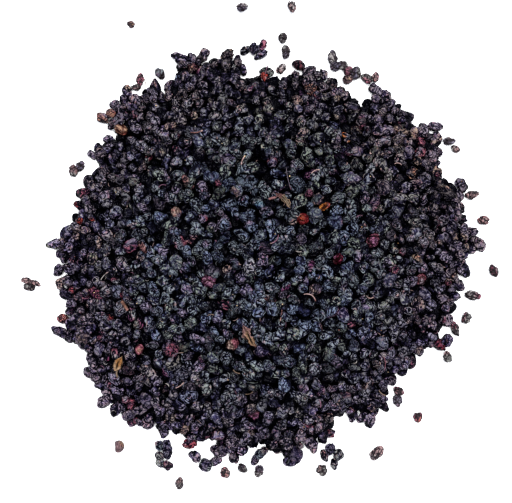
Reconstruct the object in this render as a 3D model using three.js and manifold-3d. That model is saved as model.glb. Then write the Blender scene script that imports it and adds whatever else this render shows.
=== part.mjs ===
// A heap of dried elderberries, poured out on a table.
//
// The dark berries that lie on and in each other are one fused node, the heap. Around it lie loose
// berries, alone or in small touching groups, each a node of its own. Red, plum and rusty berries,
// flakes of dry leaf and some bits of berry stalk lie in shallow pockets of the heap's top.
// Millimetres, +Z up. The origin is the middle of the heap's flat foot, on the table.

import * as THREE from "three";
import { ConvexHull } from "three/addons/math/ConvexHull.js";
import { mergeVertices } from "three/addons/utils/BufferGeometryUtils.js";
import Module from "manifold-3d";

const wasm = await Module();
wasm.setup();

// ---- Driving dimensions ---------------------------------------------------------------------

const BERRY = 4; // across a typical dried berry
const HEAP_HEIGHT = 26; // table to the topmost berry
const HEAP_SHAPE = 1.8; // power of the heap's profile: 1 is a cone, 2 a parabola

// Radius of the heap's outline every 10 degrees, anticlockwise from +X.
const OUTLINE = [
  77, 76, 75.5, 72.5, 76, 74, 66.5, 69, 66, 67.5, 73.5, 75.5,
  71.5, 74, 72, 68.5, 69, 68.5, 71, 72, 74, 71, 73, 74.5,
  71.5, 69.5, 71, 71, 75, 69.5, 66, 69, 68, 68.5, 73.5, 73.5,
];

const BERRY_SPACING = 4.5; // least distance between two berries of the heap, seen from above
const LOOSE_SPACING = 5.4; // between a berry of the heap and a loose one
const RIM_SPACING = 4.6; // between the berries that lie round the foot
const RIM_SPREAD = 1.4; // how far those stray in from the outline
const HEIGHT_SPREAD = 1.4; // how far a berry's top lies above or below its neighbours
const VALLEY_DEPTH = 2.6; // from a berry's top down to the corner that it shares with two others
const SHOULDER_REACH = 0.64; // of the way from a berry's middle to its corners
const SHOULDER_HEIGHT = 0.72; // of a berry's height above its corners
const PIT_DEPTH = 3.2; // of the hollow that a coloured berry lies in
const TABLE_DEPTH = 1.6; // how far below the foot the surface runs on, before it is cut off level
const TABLE_REACH = 16; // how far it runs on past the outline
const TABLE_SITES = 8; // round each berry at the foot, where nothing else lies
const UNDERSIDE_DEPTH = 8;
const PLACES_TRIED = 26000; // for the berries that lie wherever there is room

const BERRY_LENGTH = 1.1; // of a berry's width, where the tables below give no length
const BERRY_THICKNESS = 0.92; // of its width
const DENT_DEPTHS = [0.06, 0.05]; // of its size, one wave over another
const DENT_PITCH = 12; // how closely the waves may follow each other
const FACET_GROWTH = [1.15, 1.05]; // widens a faceted berry to a round one's volume, by its detail
const POCKET_GAP = 0.45; // from what lies in the heap's top to its pocket
const STALK_THICKNESS = 0.7;
const STALK_POCKET = 2; // width of a stalk's groove
const STALK_LIFT = 0.2; // of a stalk's axis above the berries' tops
const FLAKE_THICKNESS = 0.7;
const FLAKE_BULGE = 1.6; // how far the control points of a flake's sides stand past its half width
const TABLE_GAP = 0.02; // below the loose berries, so that the heap's foot carries the part

// Berries at the foot that stand out past the outline.
const RIM_BERRIES = [
  [75.4, 3.6], [79.4, 4.6], [76, 9.5], [72.5, 26], [68.8, 24.4], [63.5, 38], [63.4, 42.6],
  [63, 47.2], [59, 45.5], [45.4, 57.4], [41.8, 60], [18, 66.6], [14.3, 69], [2.5, 66.4],
  [-11.5, 72], [-19.8, 72.2], [-24.2, 71], [-28.4, 71.6], [-43.9, 56.4], [-47.4, 59.2],
  [-55.8, 50], [-52, 48], [-57.4, 39], [-68.8, 9.4], [-72.8, 4.4], [-68.8, 3.6], [-71.6, -4.4],
  [-71, -8.8], [-70.2, -22], [-71.4, -26.4], [-67.8, -28.6], [-60.2, -36.2], [-60.2, -40.8],
  [-55.5, -45.4], [-55.8, -51.4], [-51.5, -54.6], [-45.4, -58.3], [-24.8, -66.6], [-23, -71.2],
  [-19.2, -73.8], [-15, -69], [12, -72.8], [33.5, -55.6], [39.6, -58.3], [43.9, -52.8],
  [64, -30.6], [67.6, -29.4],
];

// Loose berries that lie alone: [x, y, length, width, heading in degrees].
const LOOSE_BERRIES = [
  [84, -4.5, 4.1, 3.6, 80],
  [80.5, 13.5, 4.3, 3.3, 5],
  [76.5, 22.5, 4.5, 3.6, -10],
  [76.5, -13.5, 5.1, 3.7, -8],
  [74, -21.5, 4.3, 4, 60],
  [70.5, -25.5, 4.8, 3.5, -62],
  [67.5, -35.5, 3.9, 3.4, 0],
  [57, -57, 3.6, 3.3, 45],
  [42, -70, 5.4, 4.2, 38],
  [22.5, -76, 4.1, 3.8, 70],
  [0, -76.5, 4.4, 3.3, 85],
  [-6, -75.5, 3.7, 3, -35],
  [-12, -77, 4, 3.3, -60],
  [-28.5, -81, 4.1, 2.8, 80],
  [-50.5, -67.5, 4.3, 3.8, 40],
  [-46, 84, 2.9, 2.5, 20],
  [-35.5, 66, 4.1, 3.9, 15],
  [-6, 90, 4.1, 3.2, 0],
  [12, 90.5, 4.2, 3.2, 75],
  [8.5, 79, 3.7, 3.5, 30],
  [9.5, 74, 4.5, 3.6, -50],
  [8, 68, 4, 3.3, 60],
];

// Loose berries that lie against each other: [x, y, width] for each berry of a group.
const LOOSE_GROUPS = [
  [
    [26.5, 72, 3.8], [27.5, 68.8, 3.7], [30.2, 69, 3.4],
    [32.3, 67.2, 3.5], [34.8, 66.4, 3.8], [31.6, 64.2, 3.5],
  ],
  [[38.8, 64.4, 4.1], [41.9, 64.9, 3.2]],
  [[68.5, 41.8, 4], [70.6, 39.2, 3.4]],
  [[-5, 74.5, 3.9], [-1.8, 75, 4], [1.2, 76.6, 3.7], [1, 72.9, 4.2]],
  [[-42.6, 64.2, 4.2], [-44.1, 61.2, 3.8]],
  [[-66.4, 31.2, 3.8], [-63.9, 33, 3.5]],
  [[-83.8, -8, 3.6], [-82.4, -10.4, 3.9], [-80.6, -8.8, 3.2]],
  [
    [-35.6, -67.2, 3.7], [-32.8, -67.3, 3.6], [-33, -70.2, 3.7],
    [-35.8, -70.9, 3.5], [-35.4, -73.6, 3.4], [-32.7, -74.4, 3.5],
  ],
  [[0.8, -70, 3.8], [-1.4, -72.3, 3.8]],
  [[50, -47.7, 3.8], [49.8, -51, 4.1]],
  [[25.6, -68.4, 4], [23.4, -70.9, 3.7], [28.4, -70.4, 4.2], [27, -73.6, 3.5]],
];

// Coloured berries on top of the heap: [name, colour, x, y, width].
const COLOURED_BERRIES = [
  ["red_berry_1", "red", 14.8, 13.4, 4.1],
  ["red_berry_2", "red", 27, 0, 3.6],
  ["red_berry_3", "red", -42, -32, 3.7],
  ["red_berry_4", "red", 57, -7.4, 3.6],
  ["plum_berry_1", "plum", -17.2, -7.8, 4.4],
  ["plum_berry_2", "plum", 39.2, 6, 4.3],
  ["plum_berry_3", "plum", -1.8, -55, 4.2],
  ["rust_berry_1", "rust", 22.4, 17.8, 3.7],
  ["rust_berry_2", "rust", -48.2, 43.8, 4.6],
  ["rust_berry_3", "rust", -9.5, -29.8, 4.3],
  ["rust_berry_4", "rust", -28.6, 15.8, 4.5],
];

// Flakes of dry leaf on top of the heap: [name, x, y, length, width, heading in degrees].
const LEAF_FLAKES = [
  ["leaf_flake_1", -3.4, -26.6, 7, 3.2, -62],
  ["leaf_flake_2", -49.3, -37, 5, 2.8, 70],
  ["leaf_flake_3", 8.4, 20, 5.6, 2.8, -50],
];

// Bits of berry stalk on top of the heap: the points that each one passes through.
const STALKS = [
  [[9.3, 31.3], [9.8, 27.4], [11, 23.5]],
  [[6.5, 8.1], [5.8, 6.1], [3.6, 5]],
  [[15.1, -12.3], [17.8, -12.5], [19.3, -14.7]],
  [[7.7, -17.5], [7.6, -19.4], [7.1, -21.5]],
  [[-24, 43.8], [-21.7, 43.6], [-19.5, 44.3]],
  [[-6.1, 32.1], [-5.7, 33.9], [-4.6, 35.5]],
  [[-29.8, -35.5], [-29.2, -33.3], [-26.1, -32.6]],
  [[-29.2, -45.2], [-27.8, -44.7], [-26.2, -43.4]],
  [[43.7, -34.5], [44.3, -36.9], [44, -39.6]],
  [[-55.5, -7.7], [-54.4, -6.1], [-52.6, -4.8]],
  [[-46.8, -14.6], [-45.6, -16.3], [-44.3, -17.9]],
];

const COLOURS = {
  dark: { color: 0x24222c, roughness: 0.5 },
  red: { color: 0x8e2a1e, roughness: 0.55 },
  plum: { color: 0x6a2c3c, roughness: 0.5 },
  rust: { color: 0xa4603a, roughness: 0.6 },
  leaf: { color: 0xa07a48, roughness: 0.8 },
  stalk: { color: 0xa8694f, roughness: 0.7 },
};

// ---- Chance ---------------------------------------------------------------------------------

// Numbers from 0 to 1, the same ones for the same seed.
function seededRandom(seed) {
  let state = seed;
  return () => {
    state = (state + 0x6d2b79f5) | 0;
    let t = Math.imul(state ^ (state >>> 15), 1 | state);
    t = (t + Math.imul(t ^ (t >>> 7), 61 | t)) ^ t;
    return ((t ^ (t >>> 14)) >>> 0) / 4294967296;
  };
}

const between = (random, low, high) => low + (high - low) * random();

// ---- The heap's form ------------------------------------------------------------------------

// Radius of the outline at an angle, on a smooth line through the OUTLINE radii.
function outlineRadius(angle) {
  const count = OUTLINE.length;
  const place = ((angle / (2 * Math.PI)) * count + count) % count;
  const first = Math.floor(place);
  const share = place - first;
  const radius = (step) => OUTLINE[(first + step + count) % count];
  const [a, b, c, d] = [-1, 0, 1, 2].map(radius);
  const bend = (3 * (b - c) - a + d) * share + 2 * a - 5 * b + 4 * c - d;
  return b + 0.5 * share * (c - a + share * bend);
}

// Height of the berries' tops above the table, at a share of the way from the middle to the outline.
const topHeight = (share) => BERRY + (HEAP_HEIGHT - BERRY) * (1 - share ** HEAP_SHAPE);

function topAt(x, y) {
  const share = Math.hypot(x, y) / outlineRadius(Math.atan2(y, x));
  return topHeight(Math.min(1, share));
}

// ---- Solids ---------------------------------------------------------------------------------

function solidOf(geometry) {
  const bare = geometry.clone();
  bare.deleteAttribute("normal");
  bare.deleteAttribute("uv");
  const merged = mergeVertices(bare, 1e-4);
  return new wasm.Manifold(
    new wasm.Mesh({
      numProp: 3,
      vertProperties: merged.attributes.position.array,
      triVerts: new Uint32Array(merged.index.array),
    }),
  );
}

function geometryOf(solid) {
  const mesh = solid.getMesh();
  return new THREE.BufferGeometry()
    .setAttribute("position", new THREE.BufferAttribute(mesh.vertProperties, 3))
    .setIndex(new THREE.BufferAttribute(mesh.triVerts, 1));
}

// The largest body of a fused solid: loose scraps go, and sealed hollows are filled.
function mainBody(solid) {
  const bodies = solid.decompose();
  return bodies.reduce((a, b) => (b.volume() > a.volume() ? b : a));
}

// A shrivelled berry round the origin: an oblong with a few dents.
function berryGeometry(length, width, detail, random) {
  const geometry = new THREE.IcosahedronGeometry(0.5, detail);
  const pitch = () => between(random, -DENT_PITCH, DENT_PITCH);
  const waves = DENT_DEPTHS.map((depth) => ({
    depth,
    pitch: new THREE.Vector3(pitch(), pitch(), pitch()),
    phase: between(random, 0, 2 * Math.PI),
  }));
  const corners = geometry.attributes.position;
  const point = new THREE.Vector3();
  for (let i = 0; i < corners.count; i++) {
    point.fromBufferAttribute(corners, i);
    const dents = waves.map((wave) => wave.depth * Math.sin(wave.pitch.dot(point) + wave.phase));
    point.multiplyScalar(dents.reduce((sum, dent) => sum + dent, 1));
    corners.setXYZ(i, point.x, point.y, point.z);
  }
  const growth = FACET_GROWTH[detail];
  return geometry.scale(growth * length, growth * width, growth * width * BERRY_THICKNESS);
}

function turnByChance(geometry, random) {
  geometry.rotateX(between(random, 0, 2 * Math.PI));
  geometry.rotateY(between(random, 0, 2 * Math.PI));
  geometry.rotateZ(between(random, 0, 2 * Math.PI));
  return geometry;
}

// Moves a berry over (x, y) and down until it lies on the table.
function layOnTable(geometry, x, y) {
  geometry.computeBoundingBox();
  return geometry.translate(x, y, TABLE_GAP - geometry.boundingBox.min.z);
}

function meshOf(name, geometry, colour) {
  const mesh = new THREE.Mesh(geometry, new THREE.MeshStandardMaterial({ metalness: 0, ...COLOURS[colour] }));
  mesh.name = name;
  return mesh;
}

// ---- The heap -------------------------------------------------------------------------------

// A site is a berry's place on the heap's surface, with the heights of its top and of its corners.
function berrySite(x, y, random) {
  const top = topAt(x, y) + between(random, -0.5, 0.5) * HEIGHT_SPREAD;
  return { x, y, top, corner: top - VALLEY_DEPTH };
}

function levelSite(x, y, height) {
  return { x, y, top: height, corner: height };
}

// Whether a berry whose middle is there lies in the heap, up to its outline.
function isInHeap(x, y) {
  return Math.hypot(x, y) < outlineRadius(Math.atan2(y, x)) - BERRY / 2;
}

// Sites of the heap's berries: the ones that stand out, the coloured ones' pits, a ring along the
// outline, and then wherever there is room. Sites below the table lie under the loose berries, close
// round the outer ones and on past the outline, and the last site is the underside.
function heapSites(random) {
  const looseBerries = [...LOOSE_BERRIES, ...LOOSE_GROUPS.flat()];
  const loose = looseBerries.map(([x, y]) => levelSite(x, y, -TABLE_DEPTH));
  const sites = [];
  const isClear = (x, y) =>
    sites.every((site) => Math.hypot(site.x - x, site.y - y) >= BERRY_SPACING) &&
    loose.every((site) => Math.hypot(site.x - x, site.y - y) >= LOOSE_SPACING);
  for (const [x, y] of RIM_BERRIES) {
    sites.push(berrySite(x, y, random));
  }
  for (const [, , x, y] of COLOURED_BERRIES) {
    sites.push(levelSite(x, y, topAt(x, y) - PIT_DEPTH));
  }
  let angle = 0;
  while (angle < 2 * Math.PI) {
    const radius = outlineRadius(angle) - BERRY / 2 - between(random, 0, RIM_SPREAD);
    const [x, y] = [radius * Math.cos(angle), radius * Math.sin(angle)];
    if (isClear(x, y)) sites.push(berrySite(x, y, random));
    angle += RIM_SPACING / radius;
  }
  for (const site of [...sites]) {
    for (let i = 0; i < TABLE_SITES; i++) {
      const heading = (2 * Math.PI * i) / TABLE_SITES;
      const x = site.x + 1.01 * BERRY_SPACING * Math.cos(heading);
      const y = site.y + 1.01 * BERRY_SPACING * Math.sin(heading);
      if (!isInHeap(x, y) && isClear(x, y)) sites.push(levelSite(x, y, -TABLE_DEPTH));
    }
  }
  for (let i = 0; i < PLACES_TRIED; i++) {
    const heading = between(random, 0, 2 * Math.PI);
    const radius = Math.sqrt(random()) * (outlineRadius(heading) + TABLE_REACH);
    const [x, y] = [radius * Math.cos(heading), radius * Math.sin(heading)];
    if (!isClear(x, y)) continue;
    sites.push(isInHeap(x, y) ? berrySite(x, y, random) : levelSite(x, y, -TABLE_DEPTH));
  }
  return [...sites, ...loose, levelSite(0, 0, -UNDERSIDE_DEPTH)];
}

// Which sites lie next to each other. Raised to a bowl, the sites are the corners of a convex solid
// whose facets join neighbours. The last site, far above the bowl, closes it: it is the underside.
function neighbouringSites(sites) {
  const bowlDepth = 100;
  const raised = sites.map(({ x, y }) => new THREE.Vector3(x, y, (x * x + y * y) / bowlDepth));
  raised.at(-1).z = 1000 * bowlDepth;
  const siteOf = new Map(raised.map((point, i) => [point, i]));
  const edges = [];
  const facets = [];
  for (const face of new ConvexHull().setFromPoints(raised).faces) {
    const around = [face.edge, face.edge.next, face.edge.prev];
    facets.push(around.map((edge) => siteOf.get(edge.tail().point)));
    face.number = facets.length - 1;
    edges.push(...around);
  }
  return {
    facets,
    edges: edges.map((edge) => ({
      site: siteOf.get(edge.tail().point),
      right: edge.face.number,
      left: edge.twin.face.number,
    })),
  };
}

// The berries' surface. Each berry rises from the corners that it shares with its neighbours, over
// rounded shoulders, to its top.
function berrySurface(sites) {
  const { facets, edges } = neighbouringSites(sites);
  const points = [];
  const addPoint = (x, y, z) => points.push(new THREE.Vector3(x, y, z)) - 1;
  const tops = sites.map(({ x, y, top }) => addPoint(x, y, top));
  const mean = (members, key) => members.reduce((sum, i) => sum + sites[i][key], 0) / members.length;
  const corners = facets.map((members) =>
    addPoint(mean(members, "x"), mean(members, "y"), mean(members, "corner")),
  );
  const shoulders = new Map();
  const shoulder = (site, facet) => {
    const key = `${site} ${facet}`;
    if (!shoulders.has(key)) {
      const { x, y, top, corner } = sites[site];
      const point = new THREE.Vector3(x, y, 0).lerp(points[corners[facet]], SHOULDER_REACH);
      shoulders.set(key, addPoint(point.x, point.y, THREE.MathUtils.lerp(corner, top, SHOULDER_HEIGHT)));
    }
    return shoulders.get(key);
  };
  const triangles = [];
  for (const { site, left, right } of edges) {
    const [a, b] = [shoulder(site, right), shoulder(site, left)];
    triangles.push(tops[site], a, b, a, corners[right], corners[left], a, corners[left], b);
  }
  return new THREE.BufferGeometry().setFromPoints(points).setIndex(triangles);
}

// ---- What lies in the heap's top ------------------------------------------------------------

// A coloured berry and the pocket that it lies in.
function colouredBerry(x, y, width, random) {
  const shape = turnByChance(berryGeometry(width * BERRY_LENGTH, width, 0, random), random);
  const z = topAt(x, y) - width / 2;
  const growth = 1 + (2 * POCKET_GAP) / width;
  const pocket = shape.clone().scale(growth, growth, growth);
  return {
    geometry: shape.translate(x, y, z),
    pocket: solidOf(pocket.translate(x, y, z)),
  };
}

function tubeAlong(points, thickness, sides, steps) {
  const radius = thickness / 2;
  const section = new THREE.Shape(new THREE.EllipseCurve(0, 0, radius, radius).getPoints(sides));
  const extrudePath = new THREE.CatmullRomCurve3(points);
  return new THREE.ExtrudeGeometry(section, { extrudePath, steps, curveSegments: sides });
}

// A bit of stalk, bent over the berries that it lies on, and its groove.
function stalk(route) {
  const points = route.map(([x, y]) => new THREE.Vector3(x, y, topAt(x, y) + STALK_LIFT));
  const past = (from, to) => to.clone().add(to.clone().sub(from).setLength(STALK_POCKET / 2));
  const longer = [past(points[1], points[0]), ...points, past(points.at(-2), points.at(-1))];
  return {
    geometry: tubeAlong(points, STALK_THICKNESS, 5, 5),
    pocket: solidOf(tubeAlong(longer, STALK_POCKET, 4, 4)),
  };
}

// A pointed flake of dry leaf, tilted as the heap is, and its pocket.
function leafFlake(x, y, length, width, heading) {
  const outline = (grow) => {
    const [end, side] = [length / 2 + grow, width / 2 + grow];
    const shape = new THREE.Shape();
    shape.moveTo(-end, 0);
    shape.quadraticCurveTo(-end / 3, -side * FLAKE_BULGE, end, 0);
    shape.quadraticCurveTo(-end / 3, side * FLAKE_BULGE, -end, 0);
    return shape;
  };
  const slab = (grow) => {
    const depth = FLAKE_THICKNESS + 2 * grow;
    const settings = { depth, bevelEnabled: false, curveSegments: 5 };
    const geometry = new THREE.ExtrudeGeometry(outline(grow), settings);
    const steepness = (topAt(x + 1, y) - topAt(x - 1, y)) / 2;
    const sideSteepness = (topAt(x, y + 1) - topAt(x, y - 1)) / 2;
    geometry.translate(0, 0, -depth / 2);
    geometry.rotateZ(THREE.MathUtils.degToRad(heading));
    geometry.rotateY(-Math.atan(steepness));
    geometry.rotateX(Math.atan(sideSteepness));
    return geometry.translate(x, y, topAt(x, y));
  };
  return { geometry: slab(0), pocket: solidOf(slab(POCKET_GAP)) };
}

// ---- Assembly -------------------------------------------------------------------------------

const group = new THREE.Group();
const pockets = [];
const random = seededRandom(1961);

function addInPocket(name, colour, piece) {
  group.add(meshOf(name, piece.geometry, colour));
  pockets.push(piece.pocket);
}

for (const [name, colour, x, y, width] of COLOURED_BERRIES) {
  addInPocket(name, colour, colouredBerry(x, y, width, random));
}
for (const [name, x, y, length, width, heading] of LEAF_FLAKES) {
  addInPocket(name, "leaf", leafFlake(x, y, length, width, heading));
}
STALKS.forEach((route, i) => addInPocket(`stalk_bit_${i + 1}`, "stalk", stalk(route)));

const berries = solidOf(berrySurface(heapSites(random)));
const onTable = berries.trimByPlane([0, 0, 1], 0);
const heap = mainBody(onTable.subtract(wasm.Manifold.union(pockets)));
group.add(meshOf("dark_berry_heap", geometryOf(heap), "dark"));

LOOSE_BERRIES.forEach(([x, y, length, width, heading], i) => {
  const shape = berryGeometry(length, width, 1, random);
  shape.rotateX(between(random, 0, 2 * Math.PI));
  shape.rotateZ(THREE.MathUtils.degToRad(heading));
  group.add(meshOf(`loose_berry_${i + 1}`, layOnTable(shape, x, y), "dark"));
});

LOOSE_GROUPS.forEach((berries, i) => {
  const solids = berries.map(([x, y, width]) => {
    const shape = turnByChance(berryGeometry(width * BERRY_LENGTH, width, 0, random), random);
    return solidOf(layOnTable(shape, x, y));
  });
  const joined = mainBody(wasm.Manifold.union(solids));
  group.add(meshOf(`loose_group_${i + 1}`, geometryOf(joined), "dark"));
});

export default group;
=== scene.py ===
"""A heap of loose dried elderberries with strays round its foot, dressed over its fixed frame."""

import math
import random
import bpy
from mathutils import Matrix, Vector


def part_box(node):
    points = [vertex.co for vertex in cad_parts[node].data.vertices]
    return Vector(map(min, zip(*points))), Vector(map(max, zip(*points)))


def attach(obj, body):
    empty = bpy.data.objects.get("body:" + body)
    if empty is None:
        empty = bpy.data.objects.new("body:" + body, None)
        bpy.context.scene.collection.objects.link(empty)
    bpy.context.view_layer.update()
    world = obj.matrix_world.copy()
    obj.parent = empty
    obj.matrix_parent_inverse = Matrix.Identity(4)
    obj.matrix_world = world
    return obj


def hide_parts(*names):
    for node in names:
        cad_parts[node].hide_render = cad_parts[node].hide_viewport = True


bl_info = {
    "name": "Dried Elderberry Heap",
    "version": (1, 0, 0),
    "blender": (4, 5, 0),
    "location": "View3D > Sidebar > Elderberries",
    "description": "Piles wrinkled elderberries, their strays, stalk bits and leaf flakes over a fixed frame",
    "category": "Object",
}

import bmesh
import bpy
import numpy as np
from bpy.props import FloatProperty, FloatVectorProperty, IntProperty, PointerProperty
from mathutils import Euler, Matrix, Vector
from mathutils.bvhtree import BVHTree

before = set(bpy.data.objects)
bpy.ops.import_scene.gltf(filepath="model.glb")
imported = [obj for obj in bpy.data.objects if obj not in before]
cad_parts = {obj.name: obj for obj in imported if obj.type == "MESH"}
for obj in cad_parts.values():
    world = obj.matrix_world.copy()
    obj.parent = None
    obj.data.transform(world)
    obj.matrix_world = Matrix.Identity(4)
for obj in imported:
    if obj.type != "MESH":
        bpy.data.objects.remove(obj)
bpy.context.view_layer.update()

MM = 0.001
BODY = "root"
HEAP = "dark_berry_heap"
TOP = (0.0, 0.0, 1.0)

# The maps of heights.
HALF_SPAN = 92  # mm, half the side of the square that they cover
MAP_STEP = 0.4  # mm, pitch of the map of what the pile shows
ABOVE_ALL = 0.05  # m, a height above the whole heap
LOWEST_TOP = 2.5  # mm, lower tops of the frame's heap are no berries
FOOTPRINT = 0.3  # mm, the heap covers each place that is higher than this

# The pile, in mm unless told.
CELL = 5.6  # side of one cell of the table that finds a ball's neighbours
FORGET = 7.0  # below a new ball, where older balls can no longer touch one
FIRST_STEP, LAST_STEP = 0.8, 0.04  # the longest and the shortest step of a ball that rolls
MOST_STEPS = 70
NEW_LOOK = 2.0  # way that a ball rolls before its neighbours are looked up again
TOO_HIGH = 6  # over the heap's outline, where a ball is given up
SIZE_LIMITS = (0.7, 1.3)  # smallest and largest radius of a ball against the mean there
WHOLE_INSET = 36  # from the rim inwards, where the berries have their whole size
RIM_TOP, RIM_INSET = 6.2, 4.2  # the frame's berries that are lower and nearer to the rim keep their places
FLOOR_TRIES = 60000
FLOOR_X, FLOOR_Y = (-82, 84), (-82, 82)
FLOOR_ROOM = 0.98  # least gap between two balls on the floor against the sum of their radii
DROP_PITCH, DROP_SPAN = 2.6, 32  # grid from which the balls of one pass drop, and its half side in cells
MOST_PASSES, FEWEST_ADDED = 26, 8

# The berries of the heap, in mm unless told.
SECTORS = 6  # meshes that share the outer berries
DETAIL = ((0.8, 7), (0.4, 5), (0.2, 4), (0.04, 3))  # share of a berry in sight, segments of its ball
RIM_SEGMENTS, LEAST_SEGMENTS, NAMED_SEGMENTS = 5, 2, 10
NEAR_RIM = 4.5  # from the heap's rim
OPEN_INSET, OPEN_SPAN, RIM_LIGHT_GAIN = 5.5, 4, 0.2  # painted light: how near the rim berries get lighter, and by what share
HEAP_REACH = 74  # from the heap's middle to its rim
ROOF_SHADE_DEPTH = 2.4  # below the heap's roof, where the painted shade darkens a ridge most
VOID_IN_SIGHT, VOID_INSET = 0.6, 9  # a berry less in sight or nearer to the rim is never missing
SPOT_IN_SIGHT, SCAR_IN_SIGHT, SHRED_IN_SIGHT = 0.45, 0.5, 0.25  # share in sight that a berry has to have
SHRED_THICKNESS = 0.08
POCKET, SHAFT = 0.74, 0.68  # room round and above a coloured berry against the sum of the radii
PLUG_RADIUS, PLUG_PITCH, PLUG_INSET = 1.3, 1.4, 5

# The skins.
RIPPLES = 5  # sine waves in one chance wave
FINE_POINTS = 500  # a ball with more points than this also gets fine grooves
GRAINS = 40.0  # a berry's grain lies between 0 and this
CALM_PITCH = 7.3  # a berry whose grain times this has a high sine has a calm skin
SWELL, WANDER, PATCHES, WEAR, HAIR, FINE = 330.0, 420.0, 520.0, 650.0, 1150.0, 1450.0  # ripples per metre

# The stage.
FLOOR_GAP = 0.02  # mm, keeps the table's face clear of the heap's foot
SKY_COLOUR = (0.88, 0.95, 1.3, 1.0)
LIGHT_TILT = (math.radians(-9), math.radians(5), 0)
SENSOR_WIDTH = 36.0  # mm
CLIP = (0.01, 20.0)  # m

# Added to the seed by each kind of piece.
COLOURED_SEED, LEAF_SEED, STALK_SEED, CRUMB_SEED = 200, 300, 400, 500


def clamp(value):
    return min(1.0, max(0.0, value))


def ramp(values, width):
    """Rises from 0 to 1 as the values of an array rise from 0 to a width."""
    return np.clip(values / width, 0, 1)


def blend(first, second, share):
    """A colour that share of the way from the first to the second."""
    return np.array(first) * (1 - share) + np.array(second) * share


# -------- colours


def shade(red, green, blue):
    """An everyday 0-255 colour as linear light."""
    return tuple(
        (c / 255 / 12.92) if c <= 10 else ((c / 255 + 0.055) / 1.055) ** 2.4
        for c in (red, green, blue)
    )


SLATE = shade(96, 101, 102)
BLUE_GREY = shade(89, 96, 105)
GREEN_GREY = shade(98, 103, 95)
PURPLE_BROWN = shade(104, 95, 98)
PLUM_GREY = shade(100, 93, 102)
DUSTY_BROWN = shade(116, 102, 94)
PALE_GREY = shade(122, 120, 120)
MAROON = shade(104, 68, 76)
DEEP_RED = shade(98, 44, 52)
BRIGHT_RED = shade(122, 68, 72)
RED_ORANGE = shade(116, 56, 48)
ORANGE = shade(146, 98, 60)
TAN = shade(128, 102, 84)
SALMON = shade(136, 98, 92)
PINK = shade(112, 82, 98)
MAGENTA = shade(92, 56, 76)
GOLD = shade(140, 112, 80)
CREAM = shade(214, 192, 152)
TEAL = shade(80, 98, 104)
OLIVE = shade(106, 108, 90)
HUSK = shade(112, 98, 84)
ROSE_STALK = shade(100, 74, 90)
RUST_STALK = shade(108, 80, 76)
ASH = shade(134, 130, 126)
MOSS = shade(110, 110, 105)
FAWN = shade(132, 112, 109)
WINE = shade(126, 84, 93)
UMBER = shade(102, 84, 84)
VIOLET_GREY = shade(102, 98, 106)
DARK_VIOLET = shade(80, 76, 86)
BERRY_RED = shade(100, 38, 40)
CRIMSON = shade(84, 34, 52)
BRICK = shade(110, 62, 56)
AMBER = shade(150, 106, 58)
ROSE = shade(114, 82, 98)
DEAD_LEAF = shade(144, 124, 106)
GOLDEN_LEAF = shade(144, 108, 72)
ROSE_LEAF = shade(122, 92, 92)
RUST_LEAF = shade(122, 94, 88)
PINK_STRAW = shade(170, 136, 130)
ROSE_STRAW = shade(146, 118, 116)
DRY_LEAF = shade(146, 122, 100)
PALE_LEAF = shade(176, 150, 124)
GREY_LEAF = shade(126, 114, 100)
PALE_STALK = shade(148, 128, 124)
COPPER = shade(140, 86, 62)
RUST = shade(112, 86, 74)
SAND = shade(122, 100, 84)
DUSKY_RED = shade(112, 72, 80)

# By colour, the places on the heap whose nearest berry in sight has it as its second colour: mm right of
# and above the heap's middle as the camera sees them, and how far the colour covers the berry.
SPOTS = {
    PINK: [(5, 21, -0.1), (24, 48.5, 0.2), (19, 31.5, -0.1), (7.5, 27.5, -0.2)],
    DUSTY_BROWN: [
        (22, 22, 0.4), (56.5, 22.5, 0.2), (58.5, 42, 0.2), (-27, -61, 0.3), (2, -35, 0), (-33, 46, 0.4),
        (-61, -30, 0.2), (13, 7.5, -0.1), (-11, -4.5, 0.1), (37, 40, 0.1),
    ],
    DUSKY_RED: [(-28.5, 5.5, 0.6)],
    ROSE_LEAF: [(-24, 5, 0.5)],
    MAROON: [
        (62, 14, -0.1), (-45.5, 7, 0), (29, 36.5, 0.1), (33, 37, -0.1), (-60, -11.5, 0.4), (-50.5, -7, 0),
        (-63.5, 22.5, 0.4), (24, 55, 0), (48, -32, 0), (34, -24, 0), (-56, -28, 0),
    ],
    HUSK: [(56, 0.5, -0.4)],
    ORANGE: [(31.5, 43.5, -0.2)],
    TAN: [(53.5, 30.5, 0.1)],
    TEAL: [(9.5, 24.5, 0), (1, 22, -0.1)],
    OLIVE: [(-59, 0, 0.2), (-72.5, 4.5, 0.3)],
    DEEP_RED: [(-47.5, -13, 0.1), (64, -30, 0.2), (24.5, -64, 0.3), (-40, 35.5, -0.2)],
    RED_ORANGE: [(-55, -21, -0.3), (2, 64.5, -0.05), (-64.5, 18, 0.1), (-60.5, 15, -0.1), (-64, 13, -0.2)],
    GOLD: [(58.5, -31.5, 0)],
    BLUE_GREY: [(-27.5, 65.5, 0.4)],
    RUST: [(-57, 50.5, 0.3), (-52.5, 50.5, 0.3), (18.5, 60.5, 0.2)],
    PURPLE_BROWN: [(60, 37.8, 0.2)],
    GREEN_GREY: [(3.4, 67, 0.3), (-20, -74, 0.4), (28, -8, 0.3), (-31, -3, 0.4)],
    PALE_GREY: [(-69, 9.5, 0.5), (-3, -1, 0.3)],
    PLUM_GREY: [(-69, 6, 0.5)],
    BRIGHT_RED: [(-68.5, -11, 0.3), (-24.5, -68, 0.4)],
    SALMON: [(-70, -21.5, 0.2)],
    RUST_STALK: [(18.5, -24.5, -0.2)],
    MAGENTA: [(-44.5, -21.5, 0.1), (-42, -24, -0.2), (-9, 17, -0.2), (11, -10.5, -0.3)],
}


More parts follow.
